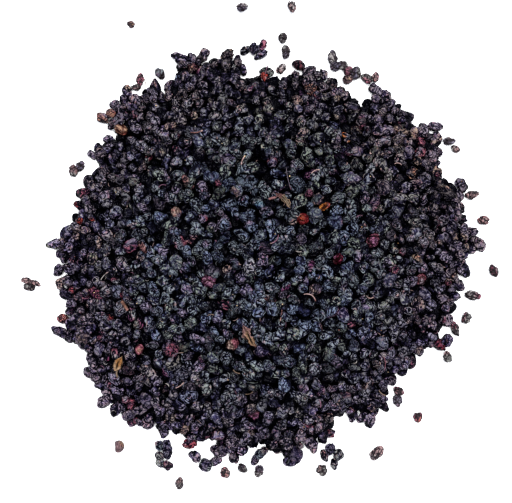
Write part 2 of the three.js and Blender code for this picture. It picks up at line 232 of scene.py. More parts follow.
def berry(length, width, heading, tint, second=None, toward=None, cover=-0.45, place=None, **shape):
    """One named berry: length and width in mm, heading in degrees, its colour, the colour of its second
    patch, the side that this faces and how far it covers it, its place in mm and what wrinkle() takes."""
    return {
        "length": length, "width": width, "heading": heading, "tint": tint, "second": second,
        "toward": toward, "cover": cover, "place": place, "shape": shape,
    }


# The berries of each loose node.
LOOSE = {
    "loose_berry_1": [berry(4.0, 3.3, 100, WINE, MOSS, (1, 0, 0.3), -0.75, point=0.12)],
    "loose_berry_2": [berry(4.1, 3.2, -8, ROSE_LEAF, FAWN, TOP, -0.8)],
    "loose_berry_3": [berry(4.5, 3.2, 0, FAWN, MOSS, (0, 1, 0), -0.6)],
    "loose_berry_4": [berry(5.1, 3.5, -10, ASH, WINE, (1, -0.2, 0), -0.4, ribs=6)],
    "loose_berry_5": [berry(4.1, 3.6, 60, MOSS, WINE, (-1, 0.4, 0.2))],
    "loose_berry_6": [berry(5.1, 3.1, -66, MOSS, WINE, (-0.6, 1, 0.2), ribs=6, point=0.12)],
    "loose_berry_7": [berry(4.0, 3.1, 112, MOSS, FAWN, (-0.2, 1, 0), -0.4)],
    "loose_berry_8": [berry(3.7, 3.1, 80, WINE, SALMON, cover=-0.1, dents=2)],
    "loose_berry_9": [berry(5.4, 3.7, 48, ASH, FAWN, (0.3, 1, 0.3), -0.2, ribs=7, point=0.08)],
    "loose_berry_10": [berry(3.9, 3.8, 80, MOSS, FAWN, (-0.8, 0.6, 0), -0.4)],
    "loose_berry_11": [berry(4.4, 3.1, 82, ASH, DARK_VIOLET, (0.1, 1, 0.2), -0.1)],
    "loose_berry_12": [berry(3.6, 2.8, -35, MOSS, DARK_VIOLET, (-0.3, 0.5, 0), -0.2)],
    "loose_berry_13": [berry(4.1, 3.2, 100, FAWN, WINE, cover=-0.2)],
    "loose_berry_14": [berry(4.1, 2.7, 90, ASH, FAWN, (0, 1, 0), -0.2)],
    "loose_berry_15": [berry(4.3, 3.9, 45, UMBER, SAND, (0.8, 0.6, 0), -0.7, kind="plain", dents=3)],
    "loose_berry_16": [berry(2.7, 2.3, -20, UMBER, CREAM, TOP, -1.0)],
    "loose_berry_17": [berry(4.0, 3.4, -60, SLATE, DARK_VIOLET, cover=-0.1)],
    "loose_berry_18": [berry(4.1, 2.9, 0, ASH, DARK_VIOLET, (0, -0.6, 0.8), -0.6)],
    "loose_berry_19": [berry(4.4, 2.8, -78, ASH, FAWN, (0.3, -1, 0), -0.5, point=0.2)],
    "loose_berry_20": [berry(3.6, 3.2, 90, ASH, MOSS, TOP, -0.4)],
    "loose_berry_21": [berry(4.3, 3.4, 88, VIOLET_GREY, MOSS, (0, 1, 0), -0.2, point=0.14)],
    "loose_berry_22": [berry(3.9, 3.0, 60, ASH, FAWN, (-0.3, -1, 0.1), -0.3)],
    "loose_group_1": [
        berry(4.8, 3.4, 98, VIOLET_GREY, ASH, TOP, -0.4, (26.5, 72.0)),
        berry(3.8, 3.5, 20, DARK_VIOLET, place=(27.5, 68.8)),
        berry(3.5, 3.2, -40, MOSS, place=(30.2, 69.0)),
        berry(3.5, 3.3, 0, WINE, place=(32.3, 67.2)),
        berry(4.3, 3.5, 80, DARK_VIOLET, MOSS, (1, 0, 0), -0.3, (34.8, 66.4)),
        berry(3.5, 3.3, 30, UMBER, CREAM, TOP, -1.1, (31.6, 64.2)),
    ],
    "loose_group_2": [
        berry(4.4, 3.2, -40, MOSS, WINE, (-0.3, -1, 0), -0.35, (38.8, 64.4)),
        berry(3.7, 2.5, 80, WINE, FAWN, cover=0.0, place=(41.9, 64.9)),
    ],
    "loose_group_3": [
        berry(4.3, 2.8, 0, VIOLET_GREY, MOSS, cover=-0.2, place=(68.5, 41.8), ribs=4),
        berry(3.5, 2.4, -35, FAWN, MOSS, (-1, 0.5, 0), -0.3, (70.6, 39.2)),
    ],
    "loose_group_4": [
        berry(3.8, 3.0, 20, MOSS, place=(-5.0, 74.5)),
        berry(4.4, 3.3, 80, DARK_VIOLET, place=(-1.8, 75.0)),
        berry(3.8, 3.1, 70, WINE, DARK_VIOLET, (-1, 0, 0), -0.2, (1.2, 76.6)),
        berry(4.9, 2.8, 208, DARK_VIOLET, VIOLET_GREY, TOP, -0.4, (1.0, 72.9), point=0.3),
    ],
    "loose_group_5": [
        berry(4.2, 2.7, 85, UMBER, WINE, cover=0.0, place=(-42.6, 64.2)),
        berry(3.6, 2.4, 0, MOSS, UMBER, cover=-0.1, place=(-44.1, 61.2)),
    ],
    "loose_group_6": [
        berry(4.3, 3.5, 80, UMBER, MOSS, (0, -1, 0), -0.3, (-66.4, 31.2)),
        berry(3.6, 3.0, 70, DARK_VIOLET, place=(-63.9, 33.0)),
    ],
    "loose_group_7": [
        berry(3.5, 2.2, 5, FAWN, place=(-83.8, -8.0)),
        berry(4.1, 2.8, -5, MOSS, UMBER, cover=0.0, place=(-82.4, -10.4)),
        berry(3.8, 2.0, -28, FAWN, UMBER, cover=-0.2, place=(-80.6, -8.8), point=0.3),
    ],
    "loose_group_8": [
        berry(3.8, 3.3, 120, SLATE, FAWN, (-0.7, 0.7, 0), -0.7, (-35.6, -67.2)),
        berry(4.2, 3.5, 100, DARK_VIOLET, place=(-32.8, -67.3)),
        berry(4.0, 3.5, 90, DARK_VIOLET, VIOLET_GREY, TOP, -0.6, (-33.0, -70.2)),
        berry(3.4, 3.1, 0, UMBER, MOSS, cover=0.0, place=(-35.8, -70.9)),
        berry(3.3, 3.0, 0, MOSS, place=(-35.4, -73.6)),
        berry(3.6, 3.2, -60, UMBER, WINE, cover=-0.2, place=(-32.7, -74.4)),
    ],
    "loose_group_9": [
        berry(4.9, 3.4, 32, SLATE, FAWN, (1, 0.8, 0.2), -0.6, (0.8, -70.0)),
        berry(3.8, 3.2, 80, DARK_VIOLET, UMBER, cover=-0.2, place=(-1.4, -72.3)),
    ],
    "loose_group_10": [
        berry(3.5, 3.2, -30, UMBER, WINE, cover=-0.2, place=(50.0, -47.7), point=0.15),
        berry(4.3, 3.2, 100, VIOLET_GREY, place=(49.8, -51.0)),
    ],
    "loose_group_11": [
        berry(4.2, 3.4, 70, DARK_VIOLET, place=(25.6, -68.4)),
        berry(4.5, 2.6, -65, UMBER, MOSS, cover=0.0, place=(23.4, -70.9)),
        berry(4.5, 3.7, 60, MOSS, place=(28.4, -70.4)),
        berry(3.6, 2.7, -80, MOSS, place=(27.0, -73.6), point=0.2),
    ],
}

# The loose groups whose skins are as dark as the heap's.
SHADED = ("loose_group_4", "loose_group_8", "loose_group_9", "loose_group_11")

# The coloured berries set into the heap.
COLOURED = {
    # red_berry_1's small copper patch on its upper side is a painted highlight.
    "red_berry_1": berry(4.5, 4.0, -30, BERRY_RED, COPPER, (-0.2, 0.4, 0.9), -0.88, kind="plain", dents=0),
    "red_berry_2": berry(3.8, 3.2, 50, CRIMSON, PINK, cover=-0.6),
    "red_berry_3": berry(3.7, 3.2, 80, DUSKY_RED, SAND, TOP, -0.95, kind="plain", dents=2),
    "red_berry_4": berry(4.0, 3.3, 70, DUSKY_RED, PURPLE_BROWN, cover=-0.1, kind="hollows"),
    "plum_berry_1": berry(5.2, 3.9, -20, ROSE, FAWN, (0.1, 0, 1), -0.94),
    "plum_berry_2": berry(4.9, 3.9, 50, DUSKY_RED, ROSE, cover=-0.1, dents=3, point=0.15),
    "plum_berry_3": berry(4.5, 3.8, 40, DUSKY_RED, ROSE, cover=0.0, kind="hollows"),
    "rust_berry_1": berry(4.7, 2.6, 30, BRICK, AMBER, (-1, -0.3, 0.4), 0.0, kind="plain", dents=0, ribs=3),
    "rust_berry_2": berry(
        5.2, 3.8, -30, SAND, BRICK, (0.5, -1, 0), -0.8, (-49.2, 45.8), kind="plain", dents=0, ribs=5,
    ),
    "rust_berry_3": berry(4.6, 4.0, 60, DUSTY_BROWN, DUSKY_RED, (1, 0.4, 0), -0.2, kind="hollows"),
    "rust_berry_4": berry(4.0, 3.4, -60, DUSTY_BROWN, PLUM_GREY, (0.6, -0.8, 0), -0.5, kind="plain", dents=2),
}

# Each leaf flake: node, length and width in mm, heading in degrees, its colour, the colours of its edges
# and of its foot, number of ribs, sideways bend in mm, how torn its edge is.
FLAKES = [
    ("leaf_flake_1", 8.6, 3.2, -60, DRY_LEAF, PINK_STRAW, ROSE_STRAW, 2, 0.5, 0.24),
    ("leaf_flake_2", 5.8, 2.7, 61, GOLDEN_LEAF, DEAD_LEAF, PALE_LEAF, 2, 0.2, 0.08),
    ("leaf_flake_3", 7.0, 2.5, -44, GREY_LEAF, DEAD_LEAF, ROSE_LEAF, 3, -0.8, 0.2),
]

# Each stalk bit: node, points in mm, thickness in mm, colour of its foot and of its tip, knob.
STALKS = [
    ("stalk_bit_1", [(9.3, 31.3), (9.8, 27.4), (11, 23.5)], 0.26, PLUM_GREY, ROSE_STALK, 1.3),
    ("stalk_bit_2", [(6.5, 8.1), (5.8, 6.1), (3.6, 5)], 0.4, PINK, PALE_STALK, 1.0),
    ("stalk_bit_3", [(15.1, -12.3), (17.8, -12.5), (19.3, -14.7)], 0.45, PALE_STALK, RUST_STALK, 1.4),
    ("stalk_bit_4", [(7.7, -17.5), (7.6, -19.4), (7.1, -21.5)], 0.42, RUST_STALK, PALE_STALK, 1.5),
    ("stalk_bit_5", [(-24, 43.8), (-21.7, 43.6), (-19.5, 44.3)], 0.45, RUST_STALK, PALE_STALK, 1.8),
    ("stalk_bit_6", [(-6.1, 32.1), (-5.7, 33.9), (-4.6, 35.5)], 0.48, PALE_STALK, CREAM, 1.5),
    ("stalk_bit_7", [(-29.8, -35.5), (-29.2, -33.3), (-26.1, -32.6)], 0.4, PLUM_GREY, HUSK, 1.3),
    ("stalk_bit_8", [(-29.2, -45.2), (-27.8, -44.7), (-26.2, -43.4)], 0.4, PALE_STALK, PALE_STALK, 1.4),
    ("stalk_bit_9", [(43.7, -34.5), (44.3, -36.9), (44, -39.6)], 0.32, MAROON, ROSE_STALK, 1.2),
    ("stalk_bit_10", [(-55.5, -7.7), (-54.4, -6.1), (-52.6, -4.8)], 0.38, ASH, PALE_STALK, 1.3),
    ("stalk_bit_11", [(-47.7, -14.8), (-46.8, -16.4), (-45.6, -18.2)], 1.15, RUST, RUST_LEAF, 0.9),
]

# Thin crumbs of stalk: points in mm, thickness in mm, colour, knob.
CRUMBS = [
    ([(12.4, 2.6), (13.6, 2.2), (14.8, 2.5)], 0.4, ASH, 1.5),
    ([(21, -49.6), (21.6, -51), (21.4, -52.4)], 0.4, PINK, 1.3),
    ([(42.4, -46.6), (43.2, -47.8), (44.8, -48.6)], 0.4, HUSK, 1.4),
    ([(-9, -38.4), (-8, -39.4), (-6.6, -39.8)], 0.4, HUSK, 1.2),
    ([(2.2, 65.2), (2.5, 67), (3.2, 68.8)], 0.35, ROSE_STALK, 1.2),
    ([(-42.2, 66.4), (-41.2, 64.2), (-40.4, 61.6)], 0.22, HUSK, 1),
    ([(17.8, 29), (19.2, 30.2), (20.8, 30.4)], 0.4, PALE_STALK, 1.4),
    ([(33.4, 14), (34.6, 14.8), (35.8, 14.6)], 0.35, ROSE_STALK, 1.2),
    ([(-18, -20), (-16.8, -19.2), (-15.4, -19.4)], 0.35, HUSK, 1.3),
    ([(47.4, 33), (48.8, 33.4), (50, 32.6)], 0.35, PALE_STALK, 1.3),
    ([(-34.8, 24.4), (-33.6, 25.4), (-32.2, 25.2)], 0.35, ROSE_STALK, 1.3),
    ([(-4.8, -47.4), (-3.4, -47.2), (-2.2, -46.2)], 0.35, HUSK, 1.2),
    ([(37, -13), (38.2, -13.8), (39.6, -13.4)], 0.35, PALE_STALK, 1.3),
    ([(-49.9, -39.4), (-50.2, -40.8), (-49.8, -42)], 0.7, HUSK, 1),
    ([(3.2, 20.2), (4.6, 20.6), (6, 20.9)], 0.9, ROSE_LEAF, 0.9),
    ([(12.5, 14.5), (12.9, 14.3), (13.2, 14.1)], 0.4, PALE_STALK, 1.2),
    ([(-81, -7.4), (-80.7, -6.4), (-80.9, -5.4)], 0.2, HUSK, 1),
]

SHRED_COLOURS = (ASH, PALE_GREY, ROSE_STALK, PALE_STALK, SLATE)

# -------- settings


class PileSettings(bpy.types.PropertyGroup):
    radius: FloatProperty(
        name="Berry radius", description="Mean radius of a dried berry", default=2.32 * MM,
        unit="LENGTH", precision=5,
    )
    rim_share: FloatProperty(
        name="Rim size", description="Size of the berries at the rim against those in the middle",
        default=0.84, subtype="FACTOR",
    )
    spread: FloatProperty(
        name="Radius spread", description="How much berries differ in radius", default=0.34 * MM,
        unit="LENGTH", precision=5,
    )
    fullness: FloatProperty(
        name="Fullness", description="Size of a wrinkled berry against the ball it fills",
        default=1.09, subtype="FACTOR",
    )
    rise: FloatProperty(
        name="Rise", description="How far a berry may stand above or below the heap's outline",
        default=0.6 * MM, unit="LENGTH", precision=5,
    )
    voids: FloatProperty(
        name="Voids", description="Share of top berries that are missing and leave a dark hole",
        default=0.012, subtype="FACTOR",
    )
    seed: IntProperty(name="Seed", description="Starts the choice of places and shapes", default=1961)


class SkinSettings(bpy.types.PropertyGroup):
    # The crease colours are the skins' dark in the wrinkles and painted shade on the berries' lower sides and
    # deep in the pile.
    crease_shade: FloatVectorProperty(
        name="Crease colour", description="Colour down in the wrinkles",
        default=(0.0014, 0.0011, 0.0042), subtype="COLOR",
    )
    # This sets both the pale bloom and the painted light on the ridges.
    bloom_and_light: FloatProperty(
        name="Bloom", description="Strength of the pale bloom on the ridges", default=1.0, subtype="FACTOR",
    )
    warm_crease_shade: FloatVectorProperty(
        name="Warm crease colour", description="Colour in the wrinkles of red and rust berries",
        default=(0.012, 0.003, 0.003), subtype="COLOR",
    )
    loose_crease_shade: FloatVectorProperty(
        name="Loose crease colour", description="Colour in the wrinkles of loose berries",
        default=(0.03, 0.024, 0.027), subtype="COLOR",
    )


class StrawSettings(bpy.types.PropertyGroup):
    scars: IntProperty(name="Scars", description="Number of cream stalk scars on the heap", default=100)
    scar_size: FloatProperty(
        name="Scar size", description="Radius of a stalk scar", default=0.25 * MM,
        unit="LENGTH", precision=5,
    )
    shreds: IntProperty(name="Shreds", description="Number of thin shreds on the heap", default=420)
    leaf_thickness: FloatProperty(
        name="Leaf thickness", description="Thickness of a dry leaf flake", default=0.16 * MM,
        unit="LENGTH", precision=5,
    )


class StageSettings(bpy.types.PropertyGroup):
    floor_side: FloatProperty(
        name="Floor side", description="Side of the floor", default=6.0, unit="LENGTH",
    )
    camera_height: FloatProperty(
        name="Camera height", description="Height of the camera above the floor", default=0.45,
        unit="LENGTH",
    )
    lens: FloatProperty(name="Lens", description="Focal length in mm", default=87.9)
    aim: FloatVectorProperty(
        name="Aim", description="Point of the floor under the camera",
        default=(-1.08 * MM, 2.34 * MM), size=2, unit="LENGTH",
    )
    sky: FloatProperty(name="Sky", description="Strength of the even light", default=0.15)
    key: FloatProperty(name="Key", description="Strength of the overhead light", default=5.4)
    key_width: FloatProperty(
        name="Key width", description="Angle that the overhead light spans",
        default=math.radians(50), subtype="ANGLE",
    )


# -------- height maps


def between(rng, low, high):
    return low + (high - low) * rng.random()


def heap_heights():
    """Height in mm of the frame's heap on a 1 mm grid, and the tops of its berries."""
    bm = bmesh.new()
    bm.from_mesh(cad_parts[HEAP].data)
    bmesh.ops.remove_doubles(bm, verts=bm.verts[:], dist=1e-7)
    tree = BVHTree.FromBMesh(bm)
    side = 2 * HALF_SPAN + 1
    heights = np.zeros((side, side))
    down = Vector((0, 0, -1))
    for i in range(side):
        for j in range(side):
            start = Vector(((i - HALF_SPAN) * MM, (j - HALF_SPAN) * MM, ABOVE_ALL))
            hit = tree.ray_cast(start, down)[0]
            if hit is not None:
                heights[i, j] = hit.z / MM
    tops = [
        tuple(v.co / MM)
        for v in bm.verts
        if v.co.z > LOWEST_TOP * MM and all(e.other_vert(v).co.z < v.co.z - 1e-6 for e in v.link_edges)
    ]
    bm.free()
    return heights, tops


def widen(heights, reach):
    """Each place takes the highest value within reach."""
    out = heights.copy()
    for i in range(-reach, reach + 1):
        for j in range(-reach, reach + 1):
            if i * i + j * j <= reach * reach + 1:
                out = np.maximum(out, np.roll(np.roll(heights, i, 0), j, 1))
    return out


def soften(heights, times):
    """Each place takes the mean of the places round it, several times over."""
    for _ in range(times):
        for axis in (0, 1):
            heights = (heights + np.roll(heights, 1, axis) + np.roll(heights, -1, axis)) / 3
    return heights


def inset_map(inside):
    """Distance in mm from each place of the heap's footprint to its rim."""
    far = np.where(inside, 99.0, 0.0)
    steps = ((1, 0), (-1, 0), (0, 1), (0, -1), (1, 1), (-1, 1), (1, -1), (-1, -1))
    for _ in range(60):
        for i, j in steps:
            far = np.minimum(far, np.roll(np.roll(far, i, 0), j, 1) + (1.414 if i and j else 1))
    return far


def read(values, x, y):
    """The value of a 1 mm map, kept as lists, at a place in mm."""
    gx = min(max(x + HALF_SPAN, 0), 2 * HALF_SPAN - 1.001)
    gy = min(max(y + HALF_SPAN, 0), 2 * HALF_SPAN - 1.001)
    i, j = int(gx), int(gy)
    fx, fy = gx - i, gy - j
    low = values[i][j] * (1 - fx) + values[i + 1][j] * fx
    high = values[i][j + 1] * (1 - fx) + values[i + 1][j + 1] * fx
    return low * (1 - fy) + high * fy


# -------- the pile


class Pile:
    """Balls that are dropped one by one and roll until they rest on others."""

    def __init__(self):
        self.balls = []
        self.cells = {}

    def near(self, x, y):
        column, row = int(x // CELL), int(y // CELL)
        found = []
        for i in (column - 1, column, column + 1):
            for j in (row - 1, row, row + 1):
                found += self.cells.get((i, j), ())
        return found

    def add(self, x, y, z, r):
        self.balls.append((x, y, z, r))
        cell = self.cells.setdefault((int(x // CELL), int(y // CELL)), [])
        cell[:] = [ball for ball in cell if ball[2] > z - FORGET]
        cell.append((x, y, z, r))

    @staticmethod
    def height_at(x, y, r, near):
        """Lowest height where a ball clears the others at a place, and the ball that holds it."""
        height, holder = r, None
        for ball in near:
            dx, dy, reach = x - ball[0], y - ball[1], r + ball[3]
            room = reach * reach - dx * dx - dy * dy
            if room > 0:
                level = ball[2] + math.sqrt(room)
                if level > height:
                    height, holder = level, ball
        return height, holder

    def settle(self, x, y, r, limit):
        """Rolls a ball down from a place until it rests."""
        near = self.near(x, y)
        z, holder = self.height_at(x, y, r, near)
        step, start = FIRST_STEP, (x, y)
        for _ in range(MOST_STEPS):
            if holder is None or step < LAST_STEP:
                break
            if z > limit + TOO_HIGH:
                return None
            dx, dy = x - holder[0], y - holder[1]
            length = math.hypot(dx, dy) or 1e-6
            ux, uy = dx / length, dy / length
            nx, ny = x + ux * step, y + uy * step
            nz, other = self.height_at(nx, ny, r, near)
            if nz >= z and other is not None and other is not holder:
                ex, ey = x - other[0], y - other[1]
                length = math.hypot(ex, ey) or 1e-6
                ux, uy = ux + ex / length, uy + ey / length
                length = math.hypot(ux, uy)
                if length > 0.05:
                    nx, ny = x + ux / length * step, y + uy / length * step
                    nz, other = self.height_at(nx, ny, r, near)
            if nz < z - 1e-4:
                x, y, z, holder = nx, ny, nz, other
                if abs(x - start[0]) + abs(y - start[1]) > NEW_LOOK:
                    near, start = self.near(x, y), (x, y)
                    z, holder = self.height_at(x, y, r, near)
            else:
                step *= 0.5
        return x, y, z


def pile_up(settings, rng, heights, tops):
    """Every berry of the heap as (x, y, z, r) in mm, from the rim and the floor upwards."""
    envelope = soften(widen(heights, 3), 3).tolist()
    inset = inset_map(heights > FOOTPRINT).tolist()
    mean, spread, rise = settings.radius / MM, settings.spread / MM, settings.rise / MM

    def size(x, y):
        middle = min(1.0, read(inset, x, y) / WHOLE_INSET)
        here = mean * (settings.rim_share + (1 - settings.rim_share) * middle)
        return min(here * SIZE_LIMITS[1], max(here * SIZE_LIMITS[0], rng.gauss(here, spread)))

    pile = Pile()
    for x, y, z in tops:
        if z < RIM_TOP and read(inset, x, y) < RIM_INSET:
            r = between(rng, 0.9, 1.06) * mean * settings.rim_share
            pile.add(x, y, r, r)
    for _ in range(FLOOR_TRIES):
        x, y = between(rng, *FLOOR_X), between(rng, *FLOOR_Y)
        r = size(x, y)
        if read(inset, x, y) < r - 0.2:
            continue
        if all(math.hypot(x - b[0], y - b[1]) >= (r + b[3]) * FLOOR_ROOM for b in pile.near(x, y)):
            pile.add(x, y, r, r)
    for _ in range(MOST_PASSES):
        places = [
            ((i + rng.random() - 0.5) * DROP_PITCH, (j + rng.random() - 0.5) * DROP_PITCH)
            for i in range(-DROP_SPAN, DROP_SPAN + 1)
            for j in range(-DROP_SPAN, DROP_SPAN + 1)
        ]
        rng.shuffle(places)
        added = 0
        for x, y in places:
            if read(inset, x, y) < 1.6:
                continue
            r = size(x, y)
            rest = pile.settle(x, y, r, read(envelope, x, y))
            if rest is None:
                continue
            x, y, z = rest
            if read(inset, x, y) < r - 0.3 or z + r > read(envelope, x, y) + between(rng, -rise, rise):
                continue
            pile.add(x, y, z, r)
            added += 1
        if added < FEWEST_ADDED:
            break
    return pile.balls, inset


def seen_from_above(balls):
    """How much of each ball shows from above, and the map of heights that the pile shows."""
    count = int(2 * HALF_SPAN / MAP_STEP)
    heights = np.zeros((count, count))
    owners = np.full((count, count), -1)
    whole = np.ones(len(balls))
    for index, (x, y, z, r) in enumerate(balls):
        i, j = (
            np.arange(int((at - r + HALF_SPAN) / MAP_STEP), int((at + r + HALF_SPAN) / MAP_STEP) + 2)
            for at in (x, y)
        )
        dx, dy = i[:, None] * MAP_STEP - HALF_SPAN - x, j[None, :] * MAP_STEP - HALF_SPAN - y
        room = r * r - dx**2 - dy**2
        level = z + np.sqrt(np.maximum(room, 0))
        part = (slice(i[0], i[-1] + 1), slice(j[0], j[-1] + 1))
        higher = (room > 0) & (level > heights[part])
        heights[part] = np.where(higher, level, heights[part])
        owners[part] = np.where(higher, index, owners[part])
        whole[index] = max(1, (room > 0).sum())
    shown = np.bincount(owners[owners >= 0].ravel(), minlength=len(balls))
    return shown / whole, heights


# -------- berries


def round_cube(segments):
    """A cube in a grid of segments, blown up to a ball of radius 1, as a mesh."""
    bm = bmesh.new()
    bmesh.ops.create_cube(bm, size=2.0)
    if segments > 1:
        bmesh.ops.subdivide_edges(bm, edges=bm.edges[:], cuts=segments - 1, use_grid_fill=True)
    for vert in bm.verts:
        vert.co = Vector([math.tan(c * math.pi / 4) for c in vert.co]).normalized()
    for face in bm.faces:
        face.smooth = True
    mesh = bpy.data.meshes.new("ball")
    bm.to_mesh(mesh)
    bm.free()
    return mesh


def directions_of(mesh):
    out = np.empty(len(mesh.vertices) * 3)
    mesh.vertices.foreach_get("co", out)
    return out.reshape(-1, 3)


def any_direction(gen):
    v = gen.normal(size=3)
    return v / np.linalg.norm(v)


def wave(directions, gen, pitch):
    """Smooth chance ripples between about -1 and 1."""
    total = np.zeros(len(directions))
    for _ in range(RIPPLES):
        run = any_direction(gen) * pitch * gen.uniform(0.7, 1.4)
        total += np.sin(directions @ run + gen.uniform(0, 6.3))
    return total / RIPPLES**0.5


def cells(points, gen, count):
    """Distance to the border of the nearest of count chance cells, and the number of that cell."""
    centres = np.stack([any_direction(gen) for _ in range(count)])
    gaps = np.linalg.norm(points[:, None] - centres[None], axis=2)
    nearest = gaps.argmin(axis=1)
    gaps.sort(axis=1)
    return gaps[:, 1] - gaps[:, 0], nearest


def facets(points, gen, count):
    """Radius of a ball that chance planes cut flat, and distance from the nearest edge between the cuts."""
    normals = np.stack([any_direction(gen) for _ in range(count)])
    reach = gen.uniform(0.7, 1.0, count) / np.maximum(points @ normals.T, 0.05)
    reach = np.sort(np.minimum(reach, 1.15), axis=1)
    return reach[:, 0], reach[:, 1] - reach[:, 0]


def wrinkle(directions, gen, folds, dents, point=0.0, kind=None, ribs=0):
    """Radius and ridge, from 0 in a crease to 1 on a ridge, along each direction of a dried berry."""
    fine = len(directions) > FINE_POINTS
    warped = directions + 0.12 * np.stack([wave(directions, gen, 3.4) for _ in range(3)], 1)
    radius = 1 + 0.06 * wave(directions, gen, 1.8)
    if kind is None:
        pick = gen.random()
        kind = "facets" if pick < 0.45 else "hollows" if pick < 0.8 else "creases"
    if kind == "facets":
        cut, edge = facets(warped, gen, int(gen.integers(9, 15)))
        radius = radius * cut
        ridge = 1 - 0.3 * ramp(edge, 0.12)
        gap, _ = cells(warped, gen, int(gen.integers(5, 9)))
        groove = ramp(gap, 0.22)
        radius -= 0.12 * (1 - groove)
        ridge = ridge * (0.25 + 0.75 * groove)
    elif kind == "hollows":
        count = int(gen.integers(6, 11))
        gap, cell = cells(warped, gen, count)
        border = ramp(gap, 0.45)
        sunk = gen.uniform(0.2, 1.0, count)[cell]
        ridge = 1 - 0.5 * border * sunk
        radius -= 0.42 * sunk * border
    elif kind == "creases":
        gap, _ = cells(warped, gen, int(gen.integers(5, 10)))
        ridge = ramp(gap, 0.25)
        radius -= 0.26 * (1 - ramp(gap, 0.45)) ** 1.5
    else:
        ridge = np.ones(len(directions))
    if fine and kind != "plain":
        gap, _ = cells(warped, gen, int(gen.integers(24, 40)))
        groove = ramp(gap, 0.17)
        radius -= 0.07 * (1 - groove)
        ridge = ridge * (0.5 + 0.5 * groove)
    if folds > 0:
        swell = wave(warped, gen, 1.7)
        ring = 0.5 + 0.5 * np.cos(swell * (5.5 if fine else 3.8) + gen.uniform(0, 6.3))
        radius -= 0.17 * folds * (1 - ring)
        ridge = ridge * (1 - 0.7 * folds * (1 - ring))
    if ribs:
        angle = np.arctan2(directions[:, 2], directions[:, 1]) + 0.25 * wave(directions, gen, 2.0)
        valley = (0.5 - 0.5 * np.cos(ribs * angle + gen.uniform(0, 6.3))) * (1 - directions[:, 0] ** 2)
        radius -= 0.12 * valley
        ridge = ridge * (1 - 0.8 * valley)
    for _ in range(dents):
        facing = directions @ any_direction(gen)
        width = gen.uniform(0.45, 0.8)
        hollow = np.exp(-((np.arccos(np.clip(facing, -1, 1)) / width) ** 2))
        radius -= gen.uniform(0.15, 0.5) * hollow
    if point > 0:
        radius += point * ramp(directions[:, 0] - 0.72, 0.28) ** 2
    radius = np.maximum(radius, 0.35)
    return radius / (radius**3).mean() ** (1 / 3), np.clip(ridge, 0, 1)


def coat(directions, gen, first, second, cover, facing=None):
    """A colour for each direction: the second colour on the side that faces a direction, or in chance
    patches, over the first; more of it as cover grows."""
    if facing is None:
        reach = wave(directions, gen, 2.4) * 0.8
    else:
        reach = directions @ facing + wave(directions, gen, 5.0) * 0.15
    return blend(first, second, np.clip((reach + cover) / 0.5 + 0.5, 0, 1)[:, None])


def turn_at_will(gen):
    return np.array(Euler(gen.uniform(0, 6.283, 3)).to_matrix())


def calm_grain(gen, calm):
    """A grain that gives a skin of its own, with as much calm as asked, from 0 to 1."""
    return (math.asin(calm) + math.tau * int(gen.integers(0, 46))) / CALM_PITCH


def lay_flat(gen, heading):
    """Turns a berry's length to a heading in degrees and lets it lean a little."""
    lean = Euler((gen.uniform(-0.3, 0.3), gen.uniform(-0.2, 0.2), 0)).to_matrix()
    return np.array(Matrix.Rotation(math.radians(heading), 3, "Z") @ lean)


def link(name, data):
    """Puts a new object into the scene."""
    piece = bpy.data.objects.new(name, data)
    bpy.context.scene.collection.objects.link(piece)
    return piece


